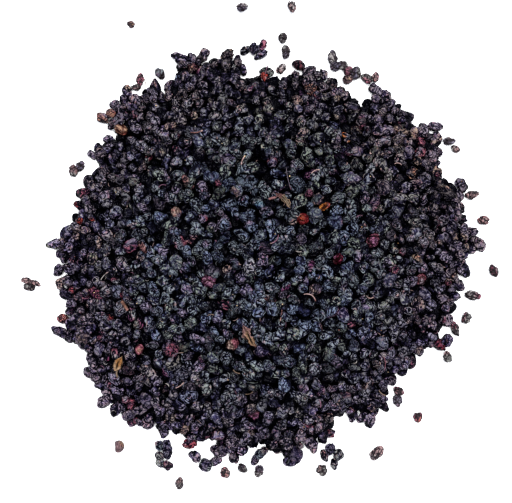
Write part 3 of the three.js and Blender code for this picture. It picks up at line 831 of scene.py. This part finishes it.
class BerryMesh:
    """Gathers berries, each with its own shape and colour, into one mesh."""

    def __init__(self, name):
        self.name = name
        self.bm = bmesh.new()
        self.places, self.ridges, self.tints, self.grains = [], [], [], []

    def add(
        self, ball, centre, axes, turn, gen, tint, floor=None, second=None, cover=0.0, toward=None,
        grain=None, lift=0.0, **shape,
    ):
        directions = directions_of(ball)
        radius, ridge = wrinkle(directions, gen, **shape)
        offsets = (directions * radius[:, None] * np.array(axes)) @ turn.T
        # Painted shade: the ridges fade to the dark crease colour down each berry's sides, as if lit from
        # above.
        top_light = ramp(offsets[:, 2] / max(axes) + 0.16, 0.36)
        ridge = ridge * top_light * top_light * (3 - 2 * top_light)
        points = offsets + np.array(centre)
        lowest = points[:, 2].min()
        if floor is not None and lowest != floor:
            points[:, 2] += floor - lowest
        elif lowest < 0:
            points[:, 2] -= lowest
        # Painted shade: ridges that lie deeper below the pile's roof, in its gaps and lower layers, are
        # darkened, less so near the rim.
        if Shared.roof is not None:
            roof = sample(Shared.roof, points)
            depth = 0.35 * (roof - points[:, 2]) + 0.65 * (roof.mean() - points[:, 2].max())
            ridge = ridge * np.clip(1.22 + lift - depth / ROOF_SHADE_DEPTH, 0, 1)
        self.bm.from_mesh(ball)
        self.places.append(points)
        self.ridges.append(ridge)
        self.grains.append(np.full(len(points), gen.uniform(0, GRAINS) if grain is None else grain))
        facing = None if toward is None else turn.T @ np.array(Vector(toward).normalized())
        colours = coat(directions, gen, tint, tint if second is None else second, cover, facing)
        self.tints.append(np.column_stack((colours, np.ones(len(points)))))

    def add_named(self, ball, middle, row, gen, height, floor=None, calm=0.6):
        """Adds a berry of one of the tables, at least as calm as asked."""
        x, y = row["place"] or middle[:2]
        axes = (row["length"] / 2, row["width"] / 2, height / 2)
        shape = {"kind": "creases", "folds": 0.4, "dents": 1, **row["shape"]}
        grain = calm_grain(gen, 1.0 if shape["kind"] == "plain" else gen.uniform(calm, 1.0))
        self.add(
            ball, (x, y, middle[2]), axes, lay_flat(gen, row["heading"]), gen, row["tint"], floor,
            row["second"], row["cover"], row["toward"], grain, **shape,
        )

    def finish(self, material):
        mesh = bpy.data.meshes.new(self.name)
        self.bm.to_mesh(mesh)
        self.bm.free()
        mesh.vertices.foreach_set("co", (np.concatenate(self.places) * MM).ravel())
        for name, values in (("ridge", self.ridges), ("grain", self.grains)):
            mesh.attributes.new(name, "FLOAT", "POINT").data.foreach_set("value", np.concatenate(values))
        tints = mesh.attributes.new("tint", "FLOAT_COLOR", "POINT")
        tints.data.foreach_set("color", np.concatenate(self.tints).ravel())
        mesh.update()
        mesh.materials.append(material)
        return link(self.name, mesh)


def stand_for(piece, slot, *nodes):
    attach(piece, BODY)
    if nodes:
        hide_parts(*nodes)


# -------- materials


class Wiring:
    """A material whose nodes are wired by short calls."""

    def __init__(self, name):
        self.material = bpy.data.materials.new(name)
        self.material.use_nodes = True
        self.tree = self.material.node_tree
        self.skin = self.tree.nodes["Principled BSDF"]

    def fit(self, socket, value):
        if isinstance(value, bpy.types.NodeSocket):
            self.tree.links.new(value, socket)
        else:
            socket.default_value = value

    def add(self, kind, inputs=(), **settings):
        node = self.tree.nodes.new("ShaderNode" + kind)
        for key, value in settings.items():
            setattr(node, key, value)
        for key, value in dict(inputs).items():
            self.fit(node.inputs[key], value)
        return node

    def own(self, name, socket="Fac"):
        return self.add("Attribute", attribute_name=name).outputs[socket]

    def place(self):
        return self.add("TexCoord").outputs["Object"]

    def noise(self, place, scale, detail=3.0, rough=0.6):
        inputs = {"Vector": place, "Scale": scale, "Detail": detail, "Roughness": rough}
        return self.add("TexNoise", inputs).outputs["Fac"]

    def own_noise(self, place, scale, detail, grain):
        """Noise that differs from berry to berry."""
        inputs = {"Vector": place, "W": grain, "Scale": scale, "Detail": detail, "Roughness": 0.5}
        return self.add("TexNoise", inputs, noise_dimensions="4D").outputs["Fac"]

    def own_lines(self, place, scale, detail, grain):
        """0 along thin winding lines, and more the further from them."""
        return self.math("ABSOLUTE", self.math("SUBTRACT", self.own_noise(place, scale, detail, grain), 0.5))

    def span(self, value, low, high, to_low=0.0, to_high=1.0):
        return self.add("MapRange", {0: value, 1: low, 2: high, 3: to_low, 4: to_high}).outputs[0]

    def math(self, operation, first, second=0.0):
        return self.add("Math", {0: first, 1: second}, operation=operation).outputs[0]

    def times(self, first, *others):
        for other in others:
            first = self.math("MULTIPLY", first, other)
        return first

    def mix(self, share, first, second, blend_type="MIX"):
        node = self.add("Mix", data_type="RGBA", blend_type=blend_type)
        self.fit(node.inputs[0], share)
        self.fit(node.inputs[6], first)
        self.fit(node.inputs[7], second)
        return node.outputs[2]

    def bump(self, height, distance, strength=1.0):
        node = self.add("Bump", {"Height": height, "Distance": distance, "Strength": strength})
        self.fit(self.skin.inputs["Normal"], node.outputs[0])

    def finish(self, **sockets):
        for key, value in sockets.items():
            self.fit(self.skin.inputs[key.replace("_", " ")], value)
        return self.material


def berry_skin(name, crease_shade, bloom_and_light, rough=(0.34, 0.58), shadow=(1.0, 0.92, 1.95), depth=1.8):
    """Wrinkled skin: dark creases, partly painted shade, and a dusty bloom with painted light in the berry's
    own colour on the ridges, mixed from a painted shaded copy of the tint to a painted lit copy.
    """
    w = Wiring(name)
    place, grain = w.place(), w.own("grain")
    shifted = w.math("ADD", grain, 7.0)
    swell = w.own_noise(place, SWELL, 0.6, grain)
    rings = w.math("SINE", w.times(swell, w.span(grain, 0.0, GRAINS, 20.0, 52.0)))
    wander = w.own_lines(place, WANDER, 1.5, shifted)
    hair = w.own_lines(place, HAIR, 1.0, grain)
    fine = w.own_noise(place, FINE, 1.5, shifted)
    patches = w.own_noise(place, PATCHES, 2.0, shifted)
    # The ridge attribute holds the ridges times the painted shade of the berries' sides and of the pile's
    # depths.
    crest = w.span(w.own("ridge"), 0.12, 0.57)
    # Thin dark lines of fine wrinkles: partly the skin's own creases, partly painted shade in them.
    lines = w.times(
        w.span(rings, -0.88, -0.45, 0.0, 1.25),
        w.span(rings, -0.15, 0.9, 1.18, 0.66),
        w.span(wander, 0.014, 0.034, 0.0, 1.2),
        w.span(wander, 0.03, 0.09, 1.1, 0.85),
        w.span(hair, 0.01, 0.028, 0.0, 1.08),
    )
    calm = w.math("SINE", w.times(grain, CALM_PITCH))
    lines = w.math("POWER", lines, w.span(calm, 0.0, 1.0, 1.0, 0.25))
    lines = w.math("MAXIMUM", lines, w.span(calm, 0.97, 1.0, 0.0, 0.6))
    dust = w.times(w.span(patches, 0.34, 0.62, 0.8, 1.1), w.span(fine, 0.34, 0.66, 0.78, 1.3))
    # share: how much of the pale bloom and painted light a point gets, from 0 in painted shade upwards.
    share = w.times(w.math("POWER", w.times(crest, lines, dust), depth), bloom_and_light)
    tint = w.own("tint", "Color")
    # Painted shade: a bluish shaded copy of the tint.
    shaded = w.mix(1.0, tint, (*shadow, 1.0), "MULTIPLY")
    worn = w.own_noise(place, WEAR, 2.0, w.math("ADD", grain, 20.0))
    # Painted light: a lit copy of the tint, warmer where the skin is worn.
    lit_and_worn = w.mix(w.span(worn, 0.56, 0.68), (1.2, 1.21, 1.25, 1.0), (1.58, 1.15, 1.19, 1.0))
    # tone: the painted shaded copy where share is low, the painted lit copy where it is high.
    tone = w.mix(share, shaded, w.mix(1.0, tint, lit_and_worn, "MULTIPLY"))
    # colour: the dark crease colour, the skin's dark and painted shade together, where share is low.
    colour = w.mix(share, (*crease_shade, 1.0), tone)
    edges = w.math("ADD", w.span(wander, 0.0, 0.06), w.times(fine, 0.8))
    w.bump(w.math("ADD", rings, edges), 0.00022)
    return w.finish(Base_Color=colour, Roughness=w.span(patches, 0.3, 0.7, *rough), Specular_IOR_Level=0.15)


def leaf_material():
    w = Wiring("dry leaf")
    place = w.place()
    tint = w.own("tint", "Color")
    mottle = w.noise(place, 1300.0, 4.0, 0.7)
    cracks = w.add("TexVoronoi", {"Vector": place, "Scale": 1500.0}, feature="DISTANCE_TO_EDGE")
    veins = cracks.outputs["Distance"]
    dark = w.times(w.span(mottle, 0.38, 0.6, 0.5, 1.0), w.span(veins, 0.0, 0.12, 0.55, 1.0))
    colour = w.mix(dark, (0.02, 0.011, 0.007, 1.0), tint)
    w.bump(w.math("ADD", w.noise(place, 2600.0), veins), 0.0004)
    return w.finish(Base_Color=colour, Roughness=0.8, Specular_IOR_Level=0.15)


def stalk_material():
    w = Wiring("dry stalk")
    place = w.place()
    tint = w.own("tint", "Color")
    mottle = w.noise(place, 1500.0)
    colour = w.mix(w.span(mottle, 0.42, 0.7, 0.0, 0.7), tint, (0.05, 0.025, 0.025, 1.0))
    w.bump(w.noise(place, 3800.0, 2.0), 0.0002, 0.6)
    return w.finish(Base_Color=colour, Roughness=0.55, Specular_IOR_Level=0.2)


def floor_material():
    w = Wiring("white table")
    tone = w.span(w.noise(w.place(), 30.0), 0.3, 0.7, 0.86, 0.9)
    colour = w.add("CombineColor", {0: tone, 1: tone, 2: tone}).outputs[0]
    return w.finish(Base_Color=colour, Roughness=0.7)


# -------- operators


class Shared:
    """What one operator leaves for the next: the heights that the pile shows, its roof and its skins."""

    heights = None
    roof = None
    skins = {}


def sample(values, points):
    """The value of a map at each point in mm."""
    spots = np.clip(((points[:, :2] + HALF_SPAN) / MAP_STEP).astype(int), 0, len(values) - 1)
    return values[spots[:, 0], spots[:, 1]]


def skin(kind):
    if kind not in Shared.skins:
        look = bpy.context.scene.elder_skin
        name = kind + " berry skin"
        if kind == "dark":
            made = berry_skin(name, look.crease_shade, look.bloom_and_light, depth=2.3)
        elif kind == "loose":
            made = berry_skin(name, look.loose_crease_shade, look.bloom_and_light, shadow=(1.0, 0.9, 1.1), depth=1.5)
        elif kind == "plum":
            made = berry_skin(name, look.warm_crease_shade, 0.8, shadow=(1.0, 0.85, 1.2))
        else:
            made = berry_skin(name, look.warm_crease_shade, 0.85, (0.25, 0.5), (1.0, 0.78, 0.9))
        Shared.skins[kind] = made
    return Shared.skins[kind]


def seeded(offset):
    return np.random.default_rng(bpy.context.scene.elder_pile.seed + offset)


def bounds_of(node):
    """The corners of a node of the frame in mm, and its middle."""
    low, high = (Vector(c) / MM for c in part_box(node))
    return low, high, (low + high) / 2


def top_height(x, y, reach):
    """Highest point in mm that the pile shows within reach of a place."""
    span = int(reach / MAP_STEP) + 1
    i, j = int((x + HALF_SPAN) / MAP_STEP), int((y + HALF_SPAN) / MAP_STEP)
    return float(Shared.heights[i - span:i + span + 1, j - span:j + span + 1].max())


def chance_tint(gen, share):
    """The colour of a common berry: slate in the middle of the heap, purple-brown towards its rim."""
    pick = gen.random()
    blue = 0.5 + max(0.1, 0.34 - 0.4 * share)
    centre = SLATE if pick < 0.5 else BLUE_GREY if pick < blue else GREEN_GREY if pick < 0.86 else PLUM_GREY
    pick = gen.random()
    warm = DUSTY_BROWN if pick < 0.96 else MAROON
    edge = PURPLE_BROWN if pick < 0.5 else PLUM_GREY if pick < 0.88 else warm
    mix = clamp((share - 0.52) / 0.4 + gen.uniform(-0.2, 0.2))
    return blend(centre, edge, mix) * math.exp(min(gen.normal(-0.03, 0.38), 0.17))


def far_tone(x, y):
    """Takes some blue from the berries on the far side of the heap."""
    return np.array((1.0, 1.0, 1 - 0.09 * min(1.0, max(-0.15, (0.4 * x + y) / 55))))


class ELDER_OT_heap(bpy.types.Operator):
    """Piles the heap's dark berries over the frame's heap"""

    bl_idname = "elder.heap"
    bl_label = "Dark berry heap"

    def execute(self, context):
        settings, straw = context.scene.elder_pile, context.scene.elder_straw
        rng, gen = random.Random(settings.seed), seeded(0)
        heights, tops = heap_heights()
        balls, inset = pile_up(settings, rng, heights, tops)
        balls = self.clear_for_named(balls)
        shown, heights = seen_from_above(balls)
        # The roof sets the painted shade of the berries that lie below it.
        Shared.roof = soften(widen(heights, 5), 5)
        balls = [
            b for b, seen in zip(balls, shown)
            if seen < VOID_IN_SIGHT or read(inset, b[0], b[1]) < VOID_INSET or rng.random() > settings.voids
        ]
        balls += self.plugs(seen_from_above(balls)[1], inset)
        shown, Shared.heights = seen_from_above(balls)
        shapes = {n: round_cube(n) for n in (LEAST_SEGMENTS, *(n for _, n in DETAIL))}
        sectors = [BerryMesh(f"heap_sector_{i + 1}") for i in range(SECTORS)]
        core = BerryMesh("heap_core")
        for (x, y, z, r), seen, tint, accent in zip(balls, shown, *self.tints(balls, shown, gen)):
            near_rim = read(inset, x, y) < NEAR_RIM
            # Painted light: berries near the rim, open to the light, are made lighter and get less painted
            # shade.
            open_side = clamp((OPEN_INSET - read(inset, x, y)) / OPEN_SPAN)
            rim_light_gain = 1 + RIM_LIGHT_GAIN * open_side
            segments = next((n for least, n in DETAIL if seen > least), LEAST_SEGMENTS)
            if near_rim:
                segments = max(segments, RIM_SEGMENTS)
            sector = sectors[int((math.atan2(y, x) / math.tau) % 1 * SECTORS)]
            home = core if segments == LEAST_SEGMENTS else sector
            size = r * settings.fullness
            axes = [size * gen.uniform(*limits) for limits in ((1.0, 1.42), (0.84, 1.05), (0.7, 0.95))]
            turn = lay_flat(gen, gen.uniform(0, 360)) if z < r + 0.4 else turn_at_will(gen)
            home.add(
                shapes[segments], (x, y, z), axes, turn, gen, tint * rim_light_gain,
                second=accent[0] * rim_light_gain, cover=accent[1], lift=0.4 * open_side,
                folds=gen.uniform(0, 1) if gen.random() < 0.6 else 0,
                point=gen.uniform(0.05, 0.22) if gen.random() < 0.2 else 0,
                dents=int(gen.integers(0, 4)),
            )
        for home in (*sectors, core):
            stand_for(home.finish(skin("dark")), "dark_berry_skin", HEAP)
        self.scars(straw, balls, shown, gen)
        self.shreds(straw, balls, shown, gen)
        return {"FINISHED"}

    def clear_for_named(self, balls):
        """Leaves out balls where the coloured berries sit."""
        for node in COLOURED:
            low, high, middle = bounds_of(node)
            reach = (high.x - low.x + high.y - low.y) / 4
            balls = [
                b for b in balls
                if (Vector(b[:3]) - middle).length > (b[3] + reach) * POCKET
                and (
                    b[2] <= middle.z - 0.6
                    or math.hypot(b[0] - middle.x, b[1] - middle.y) >= (b[3] + reach) * SHAFT
                )
            ]
        return balls

    def plugs(self, heights, inset):
        """Small balls on the floor wherever it would show through the heap."""
        found = []
        for i, j in np.argwhere(heights == 0):
            x, y = i * MAP_STEP - HALF_SPAN, j * MAP_STEP - HALF_SPAN
            if read(inset, x, y) <= PLUG_INSET:
                continue
            if all(math.hypot(x - b[0], y - b[1]) > PLUG_PITCH for b in found):
                found.append((x, y, PLUG_RADIUS, PLUG_RADIUS))
        return found

    def tints(self, balls, shown, gen):
        """The first colour of each ball, and its second colour with how far that covers it."""
        shares = [math.hypot(*ball[:2]) / HEAP_REACH for ball in balls]
        tones = [far_tone(*ball[:2]) for ball in balls]
        tints = [chance_tint(gen, share) * tone for share, tone in zip(shares, tones)]
        odd = (MAROON, DUSTY_BROWN, MAGENTA, RUST_STALK)
        accents = [
            (chance_tint(gen, share) * tone, -0.25)
            if gen.random() > 0.05
            else (np.array(odd[gen.integers(0, len(odd))]), gen.uniform(-0.45, -0.1))
            for share, tone in zip(shares, tones)
        ]
        height = bpy.context.scene.elder_stage.camera_height / MM
        in_sight = {}
        for index, (x, y, z, _) in enumerate(balls):
            if shown[index] > SPOT_IN_SIGHT:
                grow = height / (height - z)
                in_sight[index] = (x * grow, y * grow)
        for colour, spots in SPOTS.items():
            for *spot, cover in spots:
                nearest = min(in_sight, key=lambda index: math.dist(in_sight[index], spot))
                accents[nearest] = (np.array(colour), cover)
        return tints, accents

    def scars(self, straw, balls, shown, gen):
        """Cream scars where stalks broke off, as small beads half sunk in the skins."""
        scars = BerryMesh("stalk_scars")
        bead = round_cube(LEAST_SEGMENTS)
        places = [ball for ball, seen in zip(balls, shown) if seen > SCAR_IN_SIGHT]
        for index in gen.permutation(len(places))[:straw.scars]:
            x, y, z, r = places[index]
            toward = np.array((gen.normal(0, 0.5), gen.normal(0, 0.5), 1.0))
            toward /= np.linalg.norm(toward)
            size = straw.scar_size / MM * gen.uniform(0.6, 1.4)
            tint = np.array((CREAM, CREAM, SALMON, GOLD)[gen.integers(0, 4)]) * gen.uniform(0.6, 1.1)
            centre = np.array((x, y, z)) + toward * r * 0.98
            axes = (size, size * 0.8, size * 0.7)
            scars.add(bead, centre, axes, turn_at_will(gen), gen, tint, folds=0, dents=0)
        stand_for(scars.finish(stalk_material()), "berry_stalk")

    def shreds(self, straw, balls, shown, gen):
        """Thin curled shreds of stalk and skin caught on and between the berries."""
        bm = bmesh.new()
        paint = bm.verts.layers.float_color.new("tint")
        places = [ball for ball, seen in zip(balls, shown) if seen > SHRED_IN_SIGHT]
        for index in gen.permutation(len(places))[:straw.shreds]:
            x, y, z, r = places[index]
            heading, length = gen.uniform(0, math.tau), gen.uniform(0.5, 1.3)
            width, curl = gen.uniform(0.07, 0.2), gen.uniform(-0.9, 0.9)
            toward = np.array((gen.normal(0, 0.8), gen.normal(0, 0.8), 1.0))
            middle = Vector((x, y, z)) + Vector(toward / np.linalg.norm(toward)) * (r + 0.12)
            tint = np.array(SHRED_COLOURS[gen.integers(0, len(SHRED_COLOURS))]) * gen.uniform(0.5, 1.1)
            strip = bmesh.ops.create_grid(bm, x_segments=4, y_segments=1, size=1.0)["verts"]
            for vert in strip:
                u, v = vert.co.x, vert.co.y
                bend = heading + curl * u
                along = Vector((math.cos(bend), math.sin(bend), 0.3 * curl * u))
                across = Vector((-math.sin(bend), math.cos(bend), 0.5))
                vert.co = middle + along * u * length + across * v * width * (1.2 - u * u)
                vert[paint] = (*tint, 1.0)
        bmesh.ops.solidify(bm, geom=bm.faces[:], thickness=SHRED_THICKNESS)
        stand_for(painted(bm, "stalk_shreds", stalk_material()), "berry_stalk")


class ELDER_OT_loose(bpy.types.Operator):
    """Lays the loose berries and loose groups round the heap"""

    bl_idname = "elder.loose"
    bl_label = "Loose berries"

    def execute(self, context):
        ball = round_cube(NAMED_SEGMENTS)
        for index, (node, berries) in enumerate(LOOSE.items()):
            gen, middle = seeded(index), bounds_of(node)[2]
            piece = BerryMesh(node + "_skin")
            for row in berries:
                piece.add_named(ball, middle, row, gen, row["width"] * 0.95, floor=0.0)
            stand_for(piece.finish(skin("dark" if node in SHADED else "loose")), "dark_berry_skin", node)
        return {"FINISHED"}


class ELDER_OT_coloured(bpy.types.Operator):
    """Sets the red, plum and rust berries into the heap's top"""

    bl_idname = "elder.coloured"
    bl_label = "Coloured berries"

    def execute(self, context):
        ball = round_cube(NAMED_SEGMENTS)
        for index, (node, row) in enumerate(COLOURED.items()):
            kind = node.split("_")[0]
            piece = BerryMesh(node + "_skin")
            piece.add_named(
                ball, bounds_of(node)[2], row, seeded(COLOURED_SEED + index), row["width"] * 0.92, calm=0.984,
            )
            stand_for(piece.finish(skin(kind)), kind + "_berry_skin", node)
        return {"FINISHED"}


class ELDER_OT_leaves(bpy.types.Operator):
    """Lays the dry leaf flakes on the heap"""

    bl_idname = "elder.leaves"
    bl_label = "Leaf flakes"

    def execute(self, context):
        material = leaf_material()
        thickness = context.scene.elder_straw.leaf_thickness / MM
        for index, (node, length, width, heading, tint, rim, foot, ribs, bend, torn) in enumerate(FLAKES):
            middle = bounds_of(node)[2]
            bm = bmesh.new()
            paint = bm.verts.layers.float_color.new("tint")
            bmesh.ops.create_grid(bm, x_segments=34, y_segments=16, size=1.0)
            turn = Matrix.Rotation(math.radians(heading), 3, "Z")
            phase = seeded(LEAF_SEED + index).uniform(0, 6.3, 6)
            base = top_height(middle.x, middle.y, 1.0)
            for vert in bm.verts:
                u, v = vert.co.x, vert.co.y
                notches = math.sin(8 * u + phase[0] + v) + 0.7 * math.sin(19 * u + phase[1] + 2 * v)
                waist = 1 + 0.25 * math.sin(2.2 * u + phase[2])
                half = width / 2 * max(0.1, 1 - abs(u) ** 2.6) * waist * (1 + torn * notches)
                groove = math.cos(math.pi * ribs * v + 1.5 * math.sin(2.5 * u + phase[3]))
                groove = clamp((groove + 0.1) / 0.5) * min(1.0, 0.9 + 0.35 * math.sin(5 * u + phase[4]))
                spot = turn @ Vector((u * length / 2, v * half + bend * (u * u - 0.4), 0))
                x, y = middle.x + spot.x, middle.y + spot.y
                ground = max(base, top_height(x, y, 0.4) + 0.9)
                rise = 0.5 * v * v + 0.25 * math.sin(4 * u + 3 * v + phase[5]) - 0.45 * groove
                vert.co = Vector((x, y, ground + rise + 0.3))
                edge = clamp(2 * abs(v) - 1 + 0.5 * math.sin(5 * u + phase[1]))
                end = clamp((-u - 0.2) / 0.3 + 0.3 * math.sin(4 * v + phase[0]))
                colour = blend(blend(tint, rim, edge), foot, end)
                # Painted shade: the grooves are darkened into dark slits.
                vert[paint] = (*(colour * (1 - 0.93 * groove)), 1.0)
            bmesh.ops.smooth_vert(bm, verts=bm.verts[:], factor=0.5, use_axis_z=True)
            bmesh.ops.recalc_face_normals(bm, faces=bm.faces[:])
            bmesh.ops.solidify(bm, geom=bm.faces[:], thickness=thickness)
            stand_for(painted(bm, node + "_leaf", material), "dry_leaf", node)
        return {"FINISHED"}


def painted(bm, name, material):
    """Makes a finished piece of a bmesh in mm whose points hold their colours."""
    mesh = bpy.data.meshes.new(name)
    bmesh.ops.scale(bm, vec=(MM, MM, MM), verts=bm.verts[:])
    for face in bm.faces:
        face.smooth = True
    bm.to_mesh(mesh)
    bm.free()
    mesh.materials.append(material)
    return link(name, mesh)


def smooth_path(points, count):
    """A bowed path through three points."""
    a, b, c = (Vector(p) for p in points)
    handle = b * 2 - (a + c) / 2
    shares = (i / (count - 1) for i in range(count))
    return [a * (1 - t) ** 2 + handle * 2 * t * (1 - t) + c * t * t for t in shares]


class ELDER_OT_stalks(bpy.types.Operator):
    """Lays the broken stalk bits on the heap"""

    bl_idname = "elder.stalks"
    bl_label = "Stalk bits"

    def execute(self, context):
        material = stalk_material()
        for index, (node, points, thickness, foot, tip, knob) in enumerate(STALKS):
            bm = self.tube(points, thickness, knob, foot, tip, seeded(STALK_SEED + index))
            stand_for(painted(bm, node + "_straw", material), "berry_stalk", node)
        for index, (points, thickness, tint, knob) in enumerate(CRUMBS):
            bm = self.tube(points, thickness, knob, tint, tint, seeded(CRUMB_SEED + index))
            stand_for(painted(bm, f"stalk_crumb_{index + 1}", material), "berry_stalk")
        return {"FINISHED"}

    def tube(self, points, thickness, knob, foot, tip, gen):
        """A crooked stalk over the heap, from the colour of its foot to that of its tip, as a bmesh."""
        count, sides = 16, 8
        flat = smooth_path(points, count)
        levels = np.array([top_height(p.x, p.y, 0.8) for p in flat])
        for _ in range(5):
            levels[1:-1] = np.maximum(levels[1:-1], (levels[:-2] + levels[2:]) / 2)
        levels = np.maximum(levels + thickness * 0.3, thickness * 0.7)
        path = [Vector((p.x, p.y, level)) for p, level in zip(flat, levels)]
        bm = bmesh.new()
        paint = bm.verts.layers.float_color.new("tint")
        ring = bmesh.ops.create_circle(bm, segments=sides, radius=1.0, cap_ends=False)["verts"]
        for i, spot in enumerate(path):
            if i:
                edges = [e for e in bm.edges if all(v in ring for v in e.verts)]
                grown = bmesh.ops.extrude_edge_only(bm, edges=edges)["geom"]
                ring = [g for g in grown if isinstance(g, bmesh.types.BMVert)]
            ahead = (path[min(i + 1, count - 1)] - path[max(i - 1, 0)]).normalized()
            across = ahead.cross(Vector((0, 0, 1))).normalized()
            up = across.cross(ahead)
            share = i / (count - 1)
            swell = 1 + (knob - 1) * max(0.0, (share - 0.75) / 0.25) + 0.12 * gen.normal()
            end = 0.45 if i in (0, count - 1) else 1.0
            colour = blend(foot, tip, clamp((share - 0.7) / 0.25))
            for k, vert in enumerate(ring):
                angle = math.tau * k / sides
                out = across * math.cos(angle) + up * math.sin(angle)
                vert.co = spot + out * thickness / 2 * swell * end
                vert[paint] = (*colour, 1.0)
        bmesh.ops.holes_fill(bm, edges=[e for e in bm.edges if e.is_boundary], sides=0)
        bmesh.ops.recalc_face_normals(bm, faces=bm.faces[:])
        return bm


class ELDER_OT_stage(bpy.types.Operator):
    """Sets the table, the lights and the camera"""

    bl_idname = "elder.stage"
    bl_label = "Table, lights and camera"

    def execute(self, context):
        stage = context.scene.elder_stage
        bm = bmesh.new()
        bmesh.ops.create_grid(bm, x_segments=1, y_segments=1, size=stage.floor_side / 2)
        bmesh.ops.translate(bm, vec=(0, 0, -FLOOR_GAP * MM), verts=bm.verts[:])
        mesh = bpy.data.meshes.new("table")
        bm.to_mesh(mesh)
        bm.free()
        mesh.materials.append(floor_material())
        link("table", mesh)

        world = bpy.data.worlds.new("even light")
        world.use_nodes = True
        sky = world.node_tree.nodes["Background"]
        sky.inputs["Color"].default_value = SKY_COLOUR
        sky.inputs["Strength"].default_value = stage.sky
        context.scene.world = world

        data = bpy.data.lights.new("overhead light", "SUN")
        data.energy, data.angle = stage.key, stage.key_width
        link("overhead light", data).rotation_euler = LIGHT_TILT

        data = bpy.data.cameras.new("camera")
        data.lens = stage.lens
        data.sensor_width = SENSOR_WIDTH
        data.clip_start, data.clip_end = CLIP
        camera = link("camera", data)
        camera.location = (*stage.aim, stage.camera_height)
        context.scene.camera = camera
        context.scene.view_settings.view_transform = "Standard"
        context.scene.view_settings.look = "High Contrast"
        return {"FINISHED"}


class ELDER_PT_panel(bpy.types.Panel):
    """Lists the heap's settings and the steps that build it"""

    bl_idname = "ELDER_PT_panel"
    bl_label = "Elderberries"
    bl_space_type = "VIEW_3D"
    bl_region_type = "UI"
    bl_category = "Elderberries"

    def draw(self, context):
        for holder in SETTINGS:
            box = self.layout.box()
            group = getattr(context.scene, holder)
            for key in group.__annotations__:
                box.prop(group, key)
        for step in STEPS:
            self.layout.operator(step.bl_idname)


SETTINGS = {
    "elder_pile": PileSettings,
    "elder_skin": SkinSettings,
    "elder_straw": StrawSettings,
    "elder_stage": StageSettings,
}
STEPS = (ELDER_OT_heap, ELDER_OT_loose, ELDER_OT_coloured, ELDER_OT_leaves, ELDER_OT_stalks, ELDER_OT_stage)


def register():
    for cls in (*SETTINGS.values(), *STEPS, ELDER_PT_panel):
        bpy.utils.register_class(cls)
    for holder, cls in SETTINGS.items():
        setattr(bpy.types.Scene, holder, PointerProperty(type=cls))


def unregister():
    for holder in SETTINGS:
        delattr(bpy.types.Scene, holder)
    for cls in reversed((*SETTINGS.values(), *STEPS, ELDER_PT_panel)):
        bpy.utils.unregister_class(cls)


def main():
    register()
    bpy.ops.elder.heap()
    bpy.ops.elder.loose()
    bpy.ops.elder.coloured()
    bpy.ops.elder.leaves()
    bpy.ops.elder.stalks()
    bpy.ops.elder.stage()


if __name__ == "__main__":
    main()
